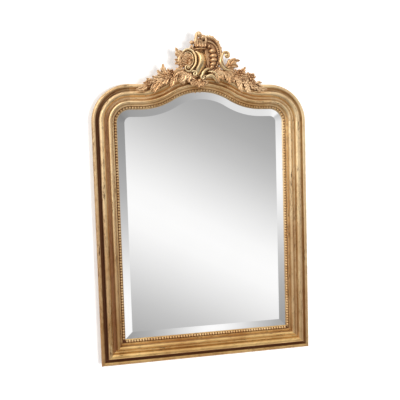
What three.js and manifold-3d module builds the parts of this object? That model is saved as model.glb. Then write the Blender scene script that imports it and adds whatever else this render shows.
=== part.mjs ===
// Arched overmantel mirror: a gilt moulded frame with a serpentine top, pearl beading beside a
// bevelled plate, and a carved asymmetrical shell crest. Millimetres, +Z up, the front faces -Y.
// The origin is at the foot of the frame, in the middle of its width and of its depth.

import * as THREE from 'three';
import { mergeVertices } from 'three/addons/utils/BufferGeometryUtils.js';
import Module from 'manifold-3d';

const wasm = await Module();
wasm.setup();

// ---- Sight opening: the edge where the frame ends and the glass begins
const SIGHT_HALF_WIDTH = 350;
const SIGHT_SHOULDER_HEIGHT = 947.5;
const SIGHT_CORNER_RADIUS = 55;
const HOLLOW_RADIUS = 263;
const ARCH_RADIUS = 224.5;
const ARCH_HALF_SPAN = 254;

// ---- Moulding section: width of each member, from the sight edge outwards
const LIP_WIDTH = 1.8;
const PEARL_CHANNEL_WIDTH = 10.5;
const FILLET_WIDTH = 6.5;
const RISER_WIDTH = 1.2;
const INNER_BAND_WIDTH = 13.5;
const HOLLOW_WIDTH = 13.5;
const TORUS_WIDTH = 22.5;
const COVE_WIDTH = 15.5;
const OUTER_BAND_WIDTH = 15;

// ---- Moulding section: height of each member above the wall
const LIP_HEIGHT = 22.6;
const PEARL_CHANNEL_HEIGHT = 24;
const FILLET_HEIGHT = 30;
const INNER_BAND_HEIGHT = 48;
const INNER_BAND_CROWN = 5;
const HOLLOW_HEIGHT = 37;
const TORUS_HEIGHT = 53;
const TORUS_OUTER_HEIGHT = 46.5;
const COVE_HEIGHT = 27;
const OUTER_BAND_INNER_HEIGHT = 42;
const OUTER_BAND_OUTER_HEIGHT = 35;

// ---- Rebates at the back
const LIP_THICKNESS = 2.6;
const GLASS_LAP = 8;
const BOARD_LAP = 22;
const BOARD_REBATE_DEPTH = 8;

// ---- Glass, blocks and backboards
const GLASS_THICKNESS = 6;
const BEVEL_WIDTH = 30;
const BEVEL_DROP = 2.4;
const BOARD_THICKNESS = 7.4;
const BOARD_COUNT = 4;
const BOARD_SPACING = 1.2;
const GLAZING_BLOCK_LENGTH = 70;
const GLAZING_BLOCK_WIDTH = 7.4;

// ---- Pearl strips
const PEARL_PITCH = 11.4;
const PEARL_RADIUS = 4.7;
const PEARL_NECK_RADIUS = 2.2;

// ---- Joints in the frame
const KEY_LENGTH = 64;
const KEY_WIDTH = 30;
const KEY_WAIST = 16;
const KEY_THICKNESS = 9;
const KEY_OFFSET = 62;

// ---- Iron hanging plates and rings
const HANGER_DROP = 87.5;
const HANGER_OFFSET = 61;
const HANGER_POCKET_WIDTH = 54;
const HANGER_POCKET_ABOVE = 50;
const HANGER_POCKET_BELOW = 52;
const HANGER_POCKET_DEPTH = 11;
const HANGER_PLATE_WIDTH = 44;
const HANGER_PLATE_LENGTH = 38;
const HANGER_PLATE_THICKNESS = 2.4;
const EYE_WIDTH = 8;
const EYE_WALL = 1.6;
const RING_WIRE_RADIUS = 2.1;
const RING_RADIUS = 20;

// ---- Crest: block, dowels and stay
const CORE_BACK = 0;
const CORE_HALF_WIDTH = 66;
const CORE_RISE = 84;
const CORE_CHAMFER = 12;
const CORE_CHAMFER_DEPTH = 22;
const DOWEL_RADIUS = 6;
const DOWEL_LENGTH = 56;
const DOWEL_SPREAD = 42;
const DOWEL_DEPTH_FROM_WALL = 13;
const STAY_WIDTH = 26;
const STAY_LENGTH = 130;
const STAY_THICKNESS = 3;

// ---- Crest: carving
const CARVING_SEAT = 0.3;
const CREST_RISE = 131;
const CARTOUCHE_RELIEF = 30;
const LEAF_THICKNESS = 9;

// ---- Fits
const JOINT_GAP = 0.3;
const POCKET_CLEARANCE = 0.3;
const EYE_CLEARANCE = 1.3;

// ---- Sizes that follow
const MOULDING_WIDTH = LIP_WIDTH + PEARL_CHANNEL_WIDTH + FILLET_WIDTH + RISER_WIDTH
  + INNER_BAND_WIDTH + HOLLOW_WIDTH + TORUS_WIDTH + COVE_WIDTH + OUTER_BAND_WIDTH;
const SIGHT_BOTTOM = MOULDING_WIDTH;
const SHOULDER = SIGHT_BOTTOM + SIGHT_SHOULDER_HEIGHT;
const SPRING = SHOULDER - SIGHT_CORNER_RADIUS;
const CORNER_X = SIGHT_HALF_WIDTH - SIGHT_CORNER_RADIUS;
const ARCH_ANGLE = Math.asin(ARCH_HALF_SPAN / (HOLLOW_RADIUS + ARCH_RADIUS));
const HOLLOW_CENTRE_Z = SHOULDER + HOLLOW_RADIUS;
const ARCH_CENTRE_Z = HOLLOW_CENTRE_Z - (HOLLOW_RADIUS + ARCH_RADIUS) * Math.cos(ARCH_ANGLE);
const OUTER_ARCH_RADIUS = ARCH_RADIUS + MOULDING_WIDTH;
const RAIL_TOP = ARCH_CENTRE_Z + OUTER_ARCH_RADIUS;
const HANGER_HEIGHT = SPRING - HANGER_DROP;
const FRAME_FRONT = Math.max(TORUS_HEIGHT, INNER_BAND_HEIGHT + INNER_BAND_CROWN);
const CARVING_BACK = FRAME_FRONT + CARVING_SEAT;
const BACK_Y = (CARVING_BACK + CARTOUCHE_RELIEF) / 2;
const GLASS_FRONT = LIP_HEIGHT - LIP_THICKNESS - JOINT_GAP
  + BEVEL_DROP * BEVEL_WIDTH / (BEVEL_WIDTH + GLASS_LAP);
const GLASS_BACK = GLASS_FRONT - GLASS_THICKNESS;
const GLASS_EDGE_OFFSET = GLASS_LAP - JOINT_GAP;

const FULL_TURN = Math.PI * 2;
const QUARTER = Math.PI / 2;

// ---- Finishes
const GILT = { color: 0xcfae78, roughness: 0.42, metalness: 0.75 };
const WORN_GILT = { color: 0xb9a271, roughness: 0.5, metalness: 0.65 };
const BRIGHT_GILT = { color: 0xe6cf9e, roughness: 0.3, metalness: 0.85 };
const RED_GILT = { color: 0xa97d50, roughness: 0.55, metalness: 0.5 };
const GLASS = { color: 0xd4d7d8, roughness: 0.05, metalness: 0.95 };
const PINE = { color: 0xa9815a, roughness: 0.85, metalness: 0 };
const OLD_PINE = { color: 0x7d5a3c, roughness: 0.9, metalness: 0 };
const IRON = { color: 0x4b4743, roughness: 0.6, metalness: 0.8 };

// ================= Solids: join, cut, and back to a geometry =================

// Shares the corners of a geometry's triangles, and drops the triangles that this leaves flat.
function shared(geometry) {
  if (geometry.userData.shared) return geometry;
  const bare = geometry.clone();
  bare.deleteAttribute('normal');
  bare.deleteAttribute('uv');
  const merged = mergeVertices(bare, 1e-3);
  const triangles = [];
  for (let i = 0; i < merged.index.count; i += 3) {
    const a = merged.index.getX(i);
    const b = merged.index.getX(i + 1);
    const c = merged.index.getX(i + 2);
    if (a !== b && b !== c && c !== a) triangles.push(a, b, c);
  }
  merged.setIndex(triangles);
  merged.userData = { shared: true };
  return merged;
}

function toSolid(geometry) {
  const merged = shared(geometry);
  return new wasm.Manifold(new wasm.Mesh({
    numProp: 3,
    vertProperties: new Float32Array(merged.attributes.position.array),
    triVerts: new Uint32Array(merged.index.array),
  }));
}

function toGeometry(solid) {
  const mesh = solid.getMesh();
  const geometry = new THREE.BufferGeometry();
  geometry.setAttribute('position', new THREE.BufferAttribute(new Float32Array(mesh.vertProperties), 3));
  geometry.setIndex(new THREE.BufferAttribute(new Uint32Array(mesh.triVerts), 1));
  geometry.userData = { shared: true };
  return geometry;
}

function join(geometries) {
  let solid = toSolid(geometries[0]);
  for (const geometry of geometries.slice(1)) {
    solid = solid.add(toSolid(geometry));
  }
  return largestBody(toGeometry(solid));
}

function cut(geometry, cutters) {
  let solid = toSolid(geometry);
  for (const cutter of cutters) {
    solid = solid.subtract(toSolid(cutter));
  }
  return largestBody(toGeometry(solid));
}

function common(geometry, other) {
  return largestBody(toGeometry(toSolid(geometry).intersect(toSolid(other))));
}

// Keeps the body with the most triangles, so that a cut leaves no loose crumb.
function largestBody(geometry) {
  const index = geometry.index;
  const parent = Array.from({ length: geometry.attributes.position.count }, (_, i) => i);
  const rootOf = (i) => {
    while (parent[i] !== i) {
      parent[i] = parent[parent[i]];
      i = parent[i];
    }
    return i;
  };
  for (let i = 0; i < index.count; i += 3) {
    parent[rootOf(index.getX(i + 1))] = rootOf(index.getX(i));
    parent[rootOf(index.getX(i + 2))] = rootOf(index.getX(i));
  }
  const count = new Map();
  for (let i = 0; i < index.count; i += 3) {
    const root = rootOf(index.getX(i));
    count.set(root, (count.get(root) ?? 0) + 1);
  }
  const best = [...count.entries()].sort((a, b) => b[1] - a[1])[0][0];
  const kept = [];
  for (let i = 0; i < index.count; i += 3) {
    if (rootOf(index.getX(i)) === best) kept.push(index.getX(i), index.getX(i + 1), index.getX(i + 2));
  }
  const body = geometry.clone();
  body.setIndex(kept);
  body.userData = { shared: true };
  return body;
}

// ================= Sweeps: a section carried along a row of stations =================

// Extrudes the section by one step for each pair of stations, then lays every step on its station.
function sweep(section, stations, curveSegments = 4) {
  const steps = stations.length - 1;
  const geometry = new THREE.ExtrudeGeometry(section, {
    depth: steps, steps, bevelEnabled: false, curveSegments,
  });
  const position = geometry.attributes.position;
  const point = new THREE.Vector3();
  for (let i = 0; i < position.count; i += 1) {
    const station = stations[Math.round(position.getZ(i))];
    station(position.getX(i), position.getY(i), point);
    position.setXYZ(i, point.x, point.y, point.z);
  }
  return geometry;
}

// One station of the frame: u runs outwards from the sight edge, h from the wall to the viewer.
function frameStation(x, z, outX, outZ, shear = 0, scale = 1, uCentre = 0, hBase = 0) {
  return (u, h, point) => {
    const across = uCentre + (u - uCentre) * scale;
    const height = hBase + (h - hBase) * scale;
    const along = shear * across;
    point.set(x + outX * across + outZ * along, -height, z + outZ * across - outX * along);
  };
}

// Runs of the sight edge, clockwise from the front. Each run gives a place for t from 0 to 1.
const RUNS = {
  leftStile: {
    length: SPRING - SIGHT_BOTTOM,
    at: (t) => [-SIGHT_HALF_WIDTH, SIGHT_BOTTOM + t * (SPRING - SIGHT_BOTTOM), -1, 0],
  },
  leftCorner: arcRun(-CORNER_X, SPRING, SIGHT_CORNER_RADIUS, Math.PI, QUARTER, 1),
  leftShoulder: {
    length: CORNER_X - ARCH_HALF_SPAN,
    at: (t) => [-CORNER_X + t * (CORNER_X - ARCH_HALF_SPAN), SHOULDER, 0, 1],
  },
  leftHollow: arcRun(-ARCH_HALF_SPAN, HOLLOW_CENTRE_Z, HOLLOW_RADIUS, -QUARTER, -QUARTER + ARCH_ANGLE, -1),
  arch: arcRun(0, ARCH_CENTRE_Z, ARCH_RADIUS, QUARTER + ARCH_ANGLE, QUARTER - ARCH_ANGLE, 1),
  rightHollow: arcRun(ARCH_HALF_SPAN, HOLLOW_CENTRE_Z, HOLLOW_RADIUS, -QUARTER - ARCH_ANGLE, -QUARTER, -1),
  rightShoulder: {
    length: CORNER_X - ARCH_HALF_SPAN,
    at: (t) => [ARCH_HALF_SPAN + t * (CORNER_X - ARCH_HALF_SPAN), SHOULDER, 0, 1],
  },
  rightCorner: arcRun(CORNER_X, SPRING, SIGHT_CORNER_RADIUS, QUARTER, 0, 1),
  rightStile: {
    length: SPRING - SIGHT_BOTTOM,
    at: (t) => [SIGHT_HALF_WIDTH, SPRING - t * (SPRING - SIGHT_BOTTOM), 1, 0],
  },
  bottomRail: {
    length: 2 * SIGHT_HALF_WIDTH,
    at: (t) => [SIGHT_HALF_WIDTH - t * 2 * SIGHT_HALF_WIDTH, SIGHT_BOTTOM, 0, -1],
  },
};

function arcRun(centreX, centreZ, radius, from, to, outward) {
  return {
    length: radius * Math.abs(to - from),
    at: (t) => {
      const angle = from + (to - from) * t;
      const x = Math.cos(angle);
      const z = Math.sin(angle);
      return [centreX + radius * x, centreZ + radius * z, outward * x, outward * z];
    },
  };
}

// Facets along each curved run, the same for every piece that follows it. A straight run has one.
const CORNER_STEPS = 6;
const HOLLOW_STEPS = 4;
const ARCH_STEPS = 8;
const STEPS = {
  leftCorner: CORNER_STEPS, leftHollow: HOLLOW_STEPS, arch: ARCH_STEPS,
  rightHollow: HOLLOW_STEPS, rightCorner: CORNER_STEPS,
};

// A chain of runs as places along the sight edge.
function chain(names) {
  const places = [];
  names.forEach((name, k) => {
    const steps = STEPS[name] ?? 1;
    for (let i = k === 0 ? 0 : 1; i <= steps; i += 1) {
      places.push(RUNS[name].at(i / steps));
    }
  });
  return places;
}

// Draws both ends of a chain back along the run, and shears them where they are mitred.
function framePiece(section, names, startTrim, endTrim, startShear = 0, endShear = 0, curveSegments = 4) {
  const places = chain(names);
  const stations = places.map(([x, z, outX, outZ], i) => {
    const shear = i === 0 ? startShear : i === places.length - 1 ? endShear : 0;
    const shift = i === 0 ? startTrim : i === places.length - 1 ? -endTrim : 0;
    return frameStation(x + outZ * shift, z - outX * shift, outX, outZ, shear);
  });
  return sweep(section, stations, curveSegments);
}

// ================= The moulding =================

// Section with its two rebates: lip, pearl channel, fillet, riser, inner band, hollow, torus, cove, band.
function mouldingSection() {
  const section = new THREE.Shape();
  let u = 0;
  section.moveTo(0, LIP_HEIGHT - LIP_THICKNESS);
  section.lineTo(0, LIP_HEIGHT);
  u += LIP_WIDTH;
  section.lineTo(u, PEARL_CHANNEL_HEIGHT);
  u += PEARL_CHANNEL_WIDTH;
  section.lineTo(u, PEARL_CHANNEL_HEIGHT);
  section.lineTo(u, FILLET_HEIGHT);
  u += FILLET_WIDTH;
  section.lineTo(u, FILLET_HEIGHT);
  section.quadraticCurveTo(u + RISER_WIDTH, FILLET_HEIGHT + 4, u + RISER_WIDTH, INNER_BAND_HEIGHT);
  u += RISER_WIDTH;
  section.quadraticCurveTo(
    u + INNER_BAND_WIDTH * 0.45, INNER_BAND_HEIGHT + INNER_BAND_CROWN * 2,
    u + INNER_BAND_WIDTH, INNER_BAND_HEIGHT,
  );
  u += INNER_BAND_WIDTH;
  section.bezierCurveTo(
    u + HOLLOW_WIDTH * 0.1, HOLLOW_HEIGHT - 1,
    u + HOLLOW_WIDTH * 0.6, HOLLOW_HEIGHT - 2,
    u + HOLLOW_WIDTH, HOLLOW_HEIGHT,
  );
  u += HOLLOW_WIDTH;
  section.bezierCurveTo(
    u + TORUS_WIDTH * 0.1, TORUS_HEIGHT + 3.2,
    u + TORUS_WIDTH * 0.8, TORUS_HEIGHT + 3.2,
    u + TORUS_WIDTH, TORUS_OUTER_HEIGHT,
  );
  u += TORUS_WIDTH;
  section.bezierCurveTo(
    u + COVE_WIDTH * 0.1, COVE_HEIGHT - 5,
    u + COVE_WIDTH * 0.95, COVE_HEIGHT - 6,
    u + COVE_WIDTH, OUTER_BAND_INNER_HEIGHT - 2,
  );
  u += COVE_WIDTH;
  section.quadraticCurveTo(
    u + OUTER_BAND_WIDTH * 0.5, OUTER_BAND_INNER_HEIGHT + 3,
    u + OUTER_BAND_WIDTH, OUTER_BAND_OUTER_HEIGHT,
  );
  section.lineTo(MOULDING_WIDTH, 0);
  section.lineTo(BOARD_LAP, 0);
  section.lineTo(BOARD_LAP, BOARD_REBATE_DEPTH);
  section.lineTo(GLASS_LAP + POCKET_CLEARANCE, BOARD_REBATE_DEPTH);
  section.lineTo(GLASS_LAP + POCKET_CLEARANCE, LIP_HEIGHT - LIP_THICKNESS);
  section.closePath();
  return section;
}

// ================= Keys and pockets =================

// Butterfly key about the origin in its own plane, long way along x. The grown one cuts its pocket.
function keyGeometry(grow) {
  const end = KEY_LENGTH / 2 + grow;
  const half = KEY_WIDTH / 2 + grow;
  const waist = KEY_WAIST / 2 + grow;
  const shape = new THREE.Shape();
  shape.moveTo(-end, -half);
  shape.lineTo(0, -waist);
  shape.lineTo(end, -half);
  shape.lineTo(end, half);
  shape.lineTo(0, waist);
  shape.lineTo(-end, half);
  shape.closePath();
  return slab(shape, grow > 0 ? -1 : 0, KEY_THICKNESS + grow);
}

// Extrudes a drawing in the x-z plane from one height above the wall to another.
function slab(shape, from, to, curveSegments = 6) {
  const geometry = new THREE.ExtrudeGeometry(shape, {
    depth: to - from, steps: 1, bevelEnabled: false, curveSegments,
  });
  geometry.translate(0, 0, from);
  geometry.rotateX(QUARTER);
  return geometry;
}

function keyPlaces() {
  const mitre = SIGHT_HALF_WIDTH + KEY_OFFSET;
  const foot = SIGHT_BOTTOM - KEY_OFFSET;
  return [
    { name: 'left_mitre_key', x: -mitre, z: foot, turn: QUARTER / 2 },
    { name: 'right_mitre_key', x: mitre, z: foot, turn: -QUARTER / 2 },
    { name: 'left_stile_key', x: -mitre, z: SPRING, turn: QUARTER },
    { name: 'right_stile_key', x: mitre, z: SPRING, turn: QUARTER },
    { name: 'left_shoulder_key', x: -CORNER_X, z: SHOULDER + KEY_OFFSET, turn: 0 },
    { name: 'right_shoulder_key', x: CORNER_X, z: SHOULDER + KEY_OFFSET, turn: 0 },
  ];
}

function placedKey(place, grow) {
  const geometry = keyGeometry(grow);
  geometry.rotateY(place.turn);
  geometry.translate(place.x, 0, place.z);
  return geometry;
}

// ================= Hanging hardware =================

function hangerX(side) {
  return side * (SIGHT_HALF_WIDTH + HANGER_OFFSET);
}

function hangerPocket(side) {
  const height = HANGER_POCKET_ABOVE + HANGER_POCKET_BELOW;
  const geometry = new THREE.BoxGeometry(HANGER_POCKET_WIDTH, HANGER_POCKET_DEPTH * 2, height);
  geometry.translate(hangerX(side), 0, HANGER_HEIGHT + (HANGER_POCKET_ABOVE - HANGER_POCKET_BELOW) / 2);
  return geometry;
}

const EYE_BORE = RING_WIRE_RADIUS + EYE_CLEARANCE;
const EYE_OUTER = EYE_BORE + EYE_WALL;
const EYE_HEIGHT = HANGER_POCKET_DEPTH - JOINT_GAP - EYE_OUTER;

// Plate on the pocket floor with a forged eye at its foot, about the eye's middle.
function hangerPlate() {
  const half = HANGER_PLATE_WIDTH / 2;
  const plate = new THREE.Shape();
  plate.moveTo(-EYE_WIDTH / 2, -1);
  plate.lineTo(EYE_WIDTH / 2, -1);
  plate.quadraticCurveTo(half, 2, half, HANGER_PLATE_LENGTH * 0.45);
  plate.quadraticCurveTo(half, HANGER_PLATE_LENGTH, 0, HANGER_PLATE_LENGTH + 4);
  plate.quadraticCurveTo(-half, HANGER_PLATE_LENGTH, -half, HANGER_PLATE_LENGTH * 0.45);
  plate.quadraticCurveTo(-half, 2, -EYE_WIDTH / 2, -1);
  const plateBody = slab(plate, EYE_OUTER - HANGER_PLATE_THICKNESS, EYE_OUTER, 4);
  const eye = new THREE.Shape();
  eye.absarc(0, 0, EYE_OUTER, 0, FULL_TURN, false);
  const eyeBody = new THREE.ExtrudeGeometry(eye, { depth: EYE_WIDTH, bevelEnabled: false, curveSegments: 6 });
  eyeBody.translate(0, 0, -EYE_WIDTH / 2);
  eyeBody.rotateY(QUARTER);
  const bore = new THREE.CylinderGeometry(EYE_BORE, EYE_BORE, EYE_WIDTH * 3, 12);
  bore.rotateZ(QUARTER);
  return cut(join([plateBody, eyeBody]), [bore]);
}

// Ring of round wire, hung from the origin: its top passes through the eye.
function hangingRing() {
  const profile = [];
  const sides = 6;
  for (let i = 0; i <= sides; i += 1) {
    const angle = FULL_TURN * (i % sides) / sides;
    profile.push(new THREE.Vector2(RING_RADIUS + RING_WIRE_RADIUS * Math.cos(angle), RING_WIRE_RADIUS * Math.sin(angle)));
  }
  const geometry = new THREE.LatheGeometry(profile, 18);
  geometry.translate(0, 0, -RING_RADIUS);
  return geometry;
}

// ================= Pearl strips =================

// Half-round string of pearls with a flat back, on the floor of the channel.
function pearlStrip(names, startShear, endShear) {
  const total = names.reduce((sum, name) => sum + RUNS[name].length, 0);
  const pearls = Math.round(total / PEARL_PITCH);
  const centre = LIP_WIDTH + PEARL_CHANNEL_WIDTH / 2;
  const base = PEARL_CHANNEL_HEIGHT + JOINT_GAP;
  const section = new THREE.Shape();
  section.moveTo(centre - PEARL_RADIUS, base);
  section.lineTo(centre - PEARL_RADIUS * 0.6, base + PEARL_RADIUS * 1.3);
  section.lineTo(centre + PEARL_RADIUS * 0.6, base + PEARL_RADIUS * 1.3);
  section.lineTo(centre + PEARL_RADIUS, base);
  section.closePath();
  const trim = JOINT_GAP;
  const stations = [];
  for (let i = 0; i <= pearls * 2; i += 1) {
    const end = i === 0 || i === pearls * 2;
    const s = Math.min(Math.max(total * i / (pearls * 2), trim), total - trim);
    const [x, z, outX, outZ] = placeAt(names, s);
    const scale = i % 2 === 0 ? PEARL_NECK_RADIUS / PEARL_RADIUS : 1;
    const shear = i === 0 ? startShear : i === pearls * 2 ? endShear : 0;
    stations.push(frameStation(x, z, outX, outZ, end ? shear : 0, scale, centre, base));
  }
  return sweep(section, stations);
}

function placeAt(names, s) {
  let rest = s;
  for (const name of names) {
    const run = RUNS[name];
    if (rest <= run.length || name === names[names.length - 1]) return run.at(rest / run.length);
    rest -= run.length;
  }
  return null;
}

// ================= Glass, blocks and boards =================

const TOP_RUNS = ['leftShoulder', 'leftHollow', 'arch', 'rightHollow', 'rightShoulder'];
const WHOLE_EDGE = ['leftStile', 'leftCorner', ...TOP_RUNS, 'rightCorner', 'rightStile'];

// Outline at one distance outside the sight edge, with square lower corners.
function outline(u) {
  const points = chain(WHOLE_EDGE).map(([x, z, outX, outZ]) => new THREE.Vector2(x + outX * u, z + outZ * u));
  points[0].y -= u;
  points[points.length - 1].y -= u;
  return new THREE.Shape(points);
}

function mirrorGlass() {
  const plate = slab(outline(GLASS_EDGE_OFFSET), GLASS_BACK, GLASS_FRONT);
  const wedge = new THREE.Shape();
  const reach = BEVEL_WIDTH + GLASS_LAP;
  const slope = BEVEL_DROP / reach;
  wedge.moveTo(-BEVEL_WIDTH, GLASS_FRONT);
  wedge.lineTo(GLASS_LAP + 2, GLASS_FRONT - slope * (reach + 2));
  wedge.lineTo(GLASS_LAP + 2, GLASS_FRONT + 4);
  wedge.lineTo(-BEVEL_WIDTH, GLASS_FRONT + 4);
  wedge.closePath();
  const sides = framePiece(wedge, WHOLE_EDGE, -0.05, -0.05, -1, 1);
  const foot = framePiece(wedge, ['bottomRail'], -0.05, -0.05, -1, 1);
  return cut(plate, [sides, foot]);
}

function backBoards() {
  const whole = slab(outline(BOARD_LAP - POCKET_CLEARANCE), BOARD_REBATE_DEPTH - JOINT_GAP - BOARD_THICKNESS,
    BOARD_REBATE_DEPTH - JOINT_GAP);
  const low = SIGHT_BOTTOM - BOARD_LAP;
  const high = ARCH_CENTRE_Z + ARCH_RADIUS + BOARD_LAP;
  const pitch = (high - low) / BOARD_COUNT;
  const boards = [];
  for (let i = 0; i < BOARD_COUNT; i += 1) {
    const lower = low + i * pitch + (i === 0 ? -5 : BOARD_SPACING / 2);
    const upper = low + (i + 1) * pitch + (i === BOARD_COUNT - 1 ? 5 : -BOARD_SPACING / 2);
    const band = new THREE.BoxGeometry(SIGHT_HALF_WIDTH * 4, BOARD_THICKNESS * 8, upper - lower);
    band.translate(0, 0, (lower + upper) / 2);
    boards.push(common(whole, band));
  }
  return boards;
}

// Wedge-faced pine block behind the edge of the glass, against the wall of its rebate.
function glazingBlock(run, t) {
  const wall = GLASS_LAP + POCKET_CLEARANCE - JOINT_GAP;
  const low = BOARD_REBATE_DEPTH + JOINT_GAP;
  const high = GLASS_BACK - JOINT_GAP;
  const section = new THREE.Shape();
  section.moveTo(wall - GLAZING_BLOCK_WIDTH, high);
  section.lineTo(wall - GLAZING_BLOCK_WIDTH, high - 2);
  section.lineTo(wall - GLAZING_BLOCK_WIDTH * 0.6, low);
  section.lineTo(wall, low);
  section.lineTo(wall, high);
  section.closePath();
  const half = GLAZING_BLOCK_LENGTH / 2 / RUNS[run].length;
  const stations = [t - half, t + half].map((at) => frameStation(...RUNS[run].at(at)));
  return sweep(section, stations);
}

// ================= Crest: block, dowels, stay =================

function archTopZ(x) {
  return ARCH_CENTRE_Z + Math.sqrt(OUTER_ARCH_RADIUS ** 2 - x ** 2);
}

function crestCore() {
  const shape = new THREE.Shape();
  const foot = archTopZ(CORE_HALF_WIDTH) - 6;
  shape.moveTo(-CORE_HALF_WIDTH, foot);
  shape.lineTo(CORE_HALF_WIDTH, foot);
  shape.bezierCurveTo(
    CORE_HALF_WIDTH + 6, RAIL_TOP + CORE_RISE * 0.5,
    CORE_HALF_WIDTH * 0.8, RAIL_TOP + CORE_RISE,
    CORE_HALF_WIDTH * 0.2, RAIL_TOP + CORE_RISE,
  );
  shape.bezierCurveTo(
    -CORE_HALF_WIDTH * 0.9, RAIL_TOP + CORE_RISE,
    -CORE_HALF_WIDTH - 18, RAIL_TOP + CORE_RISE * 0.5,
    -CORE_HALF_WIDTH, foot,
  );
  const block = new THREE.ExtrudeGeometry(shape, {
    depth: FRAME_FRONT - CORE_BACK - CORE_CHAMFER_DEPTH, bevelEnabled: true,
    bevelThickness: CORE_CHAMFER_DEPTH, bevelSize: CORE_CHAMFER, bevelOffset: -CORE_CHAMFER,
    bevelSegments: 1, curveSegments: 5,
  });
  block.translate(0, 0, CORE_BACK + CORE_CHAMFER_DEPTH);
  block.rotateX(QUARTER);
  const seat = outline(MOULDING_WIDTH + JOINT_GAP);
  const front = new THREE.BoxGeometry(CORE_HALF_WIDTH * 4, CORE_CHAMFER_DEPTH * 4, CORE_RISE * 4);
  front.translate(0, -FRAME_FRONT - CORE_CHAMFER_DEPTH * 2, RAIL_TOP);
  return cut(block, [slab(seat, -5, FRAME_FRONT + 5), front, stayRecess(), ...dowels(POCKET_CLEARANCE)]);
}

function dowels(grow) {
  return [-1, 1].map((side) => {
    const geometry = new THREE.CylinderGeometry(DOWEL_RADIUS + grow, DOWEL_RADIUS + grow, DOWEL_LENGTH + 2 * grow, 12);
    geometry.rotateX(QUARTER);
    geometry.translate(side * DOWEL_SPREAD, -DOWEL_DEPTH_FROM_WALL, archTopZ(DOWEL_SPREAD));
    return geometry;
  });
}

function crestStay(grow) {
  const half = STAY_WIDTH / 2;
  const long = STAY_LENGTH / 2 - half;
  const shape = new THREE.Shape();
  shape.absarc(0, long, half + grow, 0, Math.PI, false);
  shape.absarc(0, -long, half + grow, Math.PI, FULL_TURN, false);
  const geometry = slab(shape, grow > 0 ? -2 : 0, STAY_THICKNESS + grow, 5);
  geometry.translate(0, 0, RAIL_TOP);
  return geometry;
}

function stayRecess() {
  return crestStay(POCKET_CLEARANCE);
}

// ================= Crest: carving =================
// The carving is drawn about the top of the arch: x across, z above the rail, and h above the
// carving's flat back. DRAWN_RISE is how high the drawing reaches, and DRAWN is its scale.

const DRAWN_RISE = 131;
const DRAWN = CREST_RISE / DRAWN_RISE;

const V = (x, z, h = 0) => new THREE.Vector3(x, z, h);

// One station of a carved member: a runs across it, b towards the viewer, never behind the flat back.
function carvedStation(place, tangent, width, height) {
  const level = Math.hypot(tangent.x, tangent.y) || 1;
  const tx = tangent.x / level;
  const tz = tangent.y / level;
  return (a, b, point) => {
    const h = Math.max(place.z + b * height, 0);
    point.set(place.x - tz * a * width, -h, place.y + tx * a * width).multiplyScalar(DRAWN);
  };
}

function carvedSweep(section, points, steps, widthAt, heightAt) {
  const curve = new THREE.CatmullRomCurve3(points, false, 'centripetal');
  const stations = [];
  for (let i = 0; i <= steps; i += 1) {
    const t = i / steps;
    stations.push(carvedStation(curve.getPointAt(t), curve.getTangentAt(t), widthAt(t), heightAt(t)));
  }
  return sweep(section, stations);
}

// Lays a turned or drawn body on the carving's back at its place in the drawing.
function placedCarving(geometry, x, z, h) {
  geometry.translate(x, -h, z);
  geometry.scale(DRAWN, DRAWN, DRAWN);
  return geometry;
}

function polygon(pairs) {
  return new THREE.Shape(pairs.map(([x, y]) => new THREE.Vector2(x, y)));
}

function regular(sides, turn = 0) {
  const pairs = [];
  for (let i = 0; i < sides; i += 1) {
    const angle = FULL_TURN * i / sides + turn;
    pairs.push([Math.cos(angle), Math.sin(angle)]);
  }
  return polygon(pairs);
}

const ROUND = regular(5, QUARTER);
const DOME = polygon([0, 1, 2, 3, 4, 5, 6].map((i) => [Math.cos(Math.PI * i / 6), Math.sin(Math.PI * i / 6)]));
const LOW_DOME = polygon([[-1, 0], [1, 0], [0.55, 0.8], [-0.55, 0.8]]);
const LEAF_SECTION = polygon([[-1, 0], [1, 0], [0.6, 0.85], [0, 0.45], [-0.6, 0.85]]);
const SMALL_LEAF_SECTION = polygon([[-1, 0], [1, 0], [0.1, 0.85]]);

// Round-backed scroll: swells from both ends to its middle.
function scroll(points, steps, endRadius, midRadius, swell = 0.5) {
  const radiusAt = (t) => {
    const x = t < swell ? t / swell : (1 - t) / (1 - swell);
    return endRadius + (midRadius - endRadius) * Math.sin(x * QUARTER) ** 0.8;
  };
  return carvedSweep(ROUND, points, steps, radiusAt, radiusAt);
}

// Points of a volute, from its rim in to its eye.
function volute(x, z, rim, eye, from, turns, count, h = 0, lift = 0) {
  const points = [];
  for (let i = 0; i <= count; i += 1) {
    const t = i / count;
    const radius = rim * (eye / rim) ** t;
    const angle = from + FULL_TURN * turns * t;
    points.push(V(x + radius * Math.cos(angle), z + radius * Math.sin(angle), h + lift * t));
  }
  return points;
}

// Low mass of stalks that leaves spring from, drawn to a point at both ends.
function mound(points, steps, width, height) {
  const swell = (t) => 0.3 + 0.7 * Math.sin(Math.PI * t) ** 0.7;
  return carvedSweep(LOW_DOME, points, steps, (t) => width * swell(t), (t) => height * swell(t));
}

// Width of a leaf along its length: lobes swept out and in, on a form that ends in a point.
function leafWidth(width, steps) {
  return (t) => {
    const lobe = Math.round(t * steps) % 2 === 0 ? 0.66 : 1.06;
    return width * lobe * (0.3 * (1 - t) + 0.92 * Math.sin(Math.PI * t ** 0.78) ** 0.85) + 0.3;
  };
}

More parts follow.
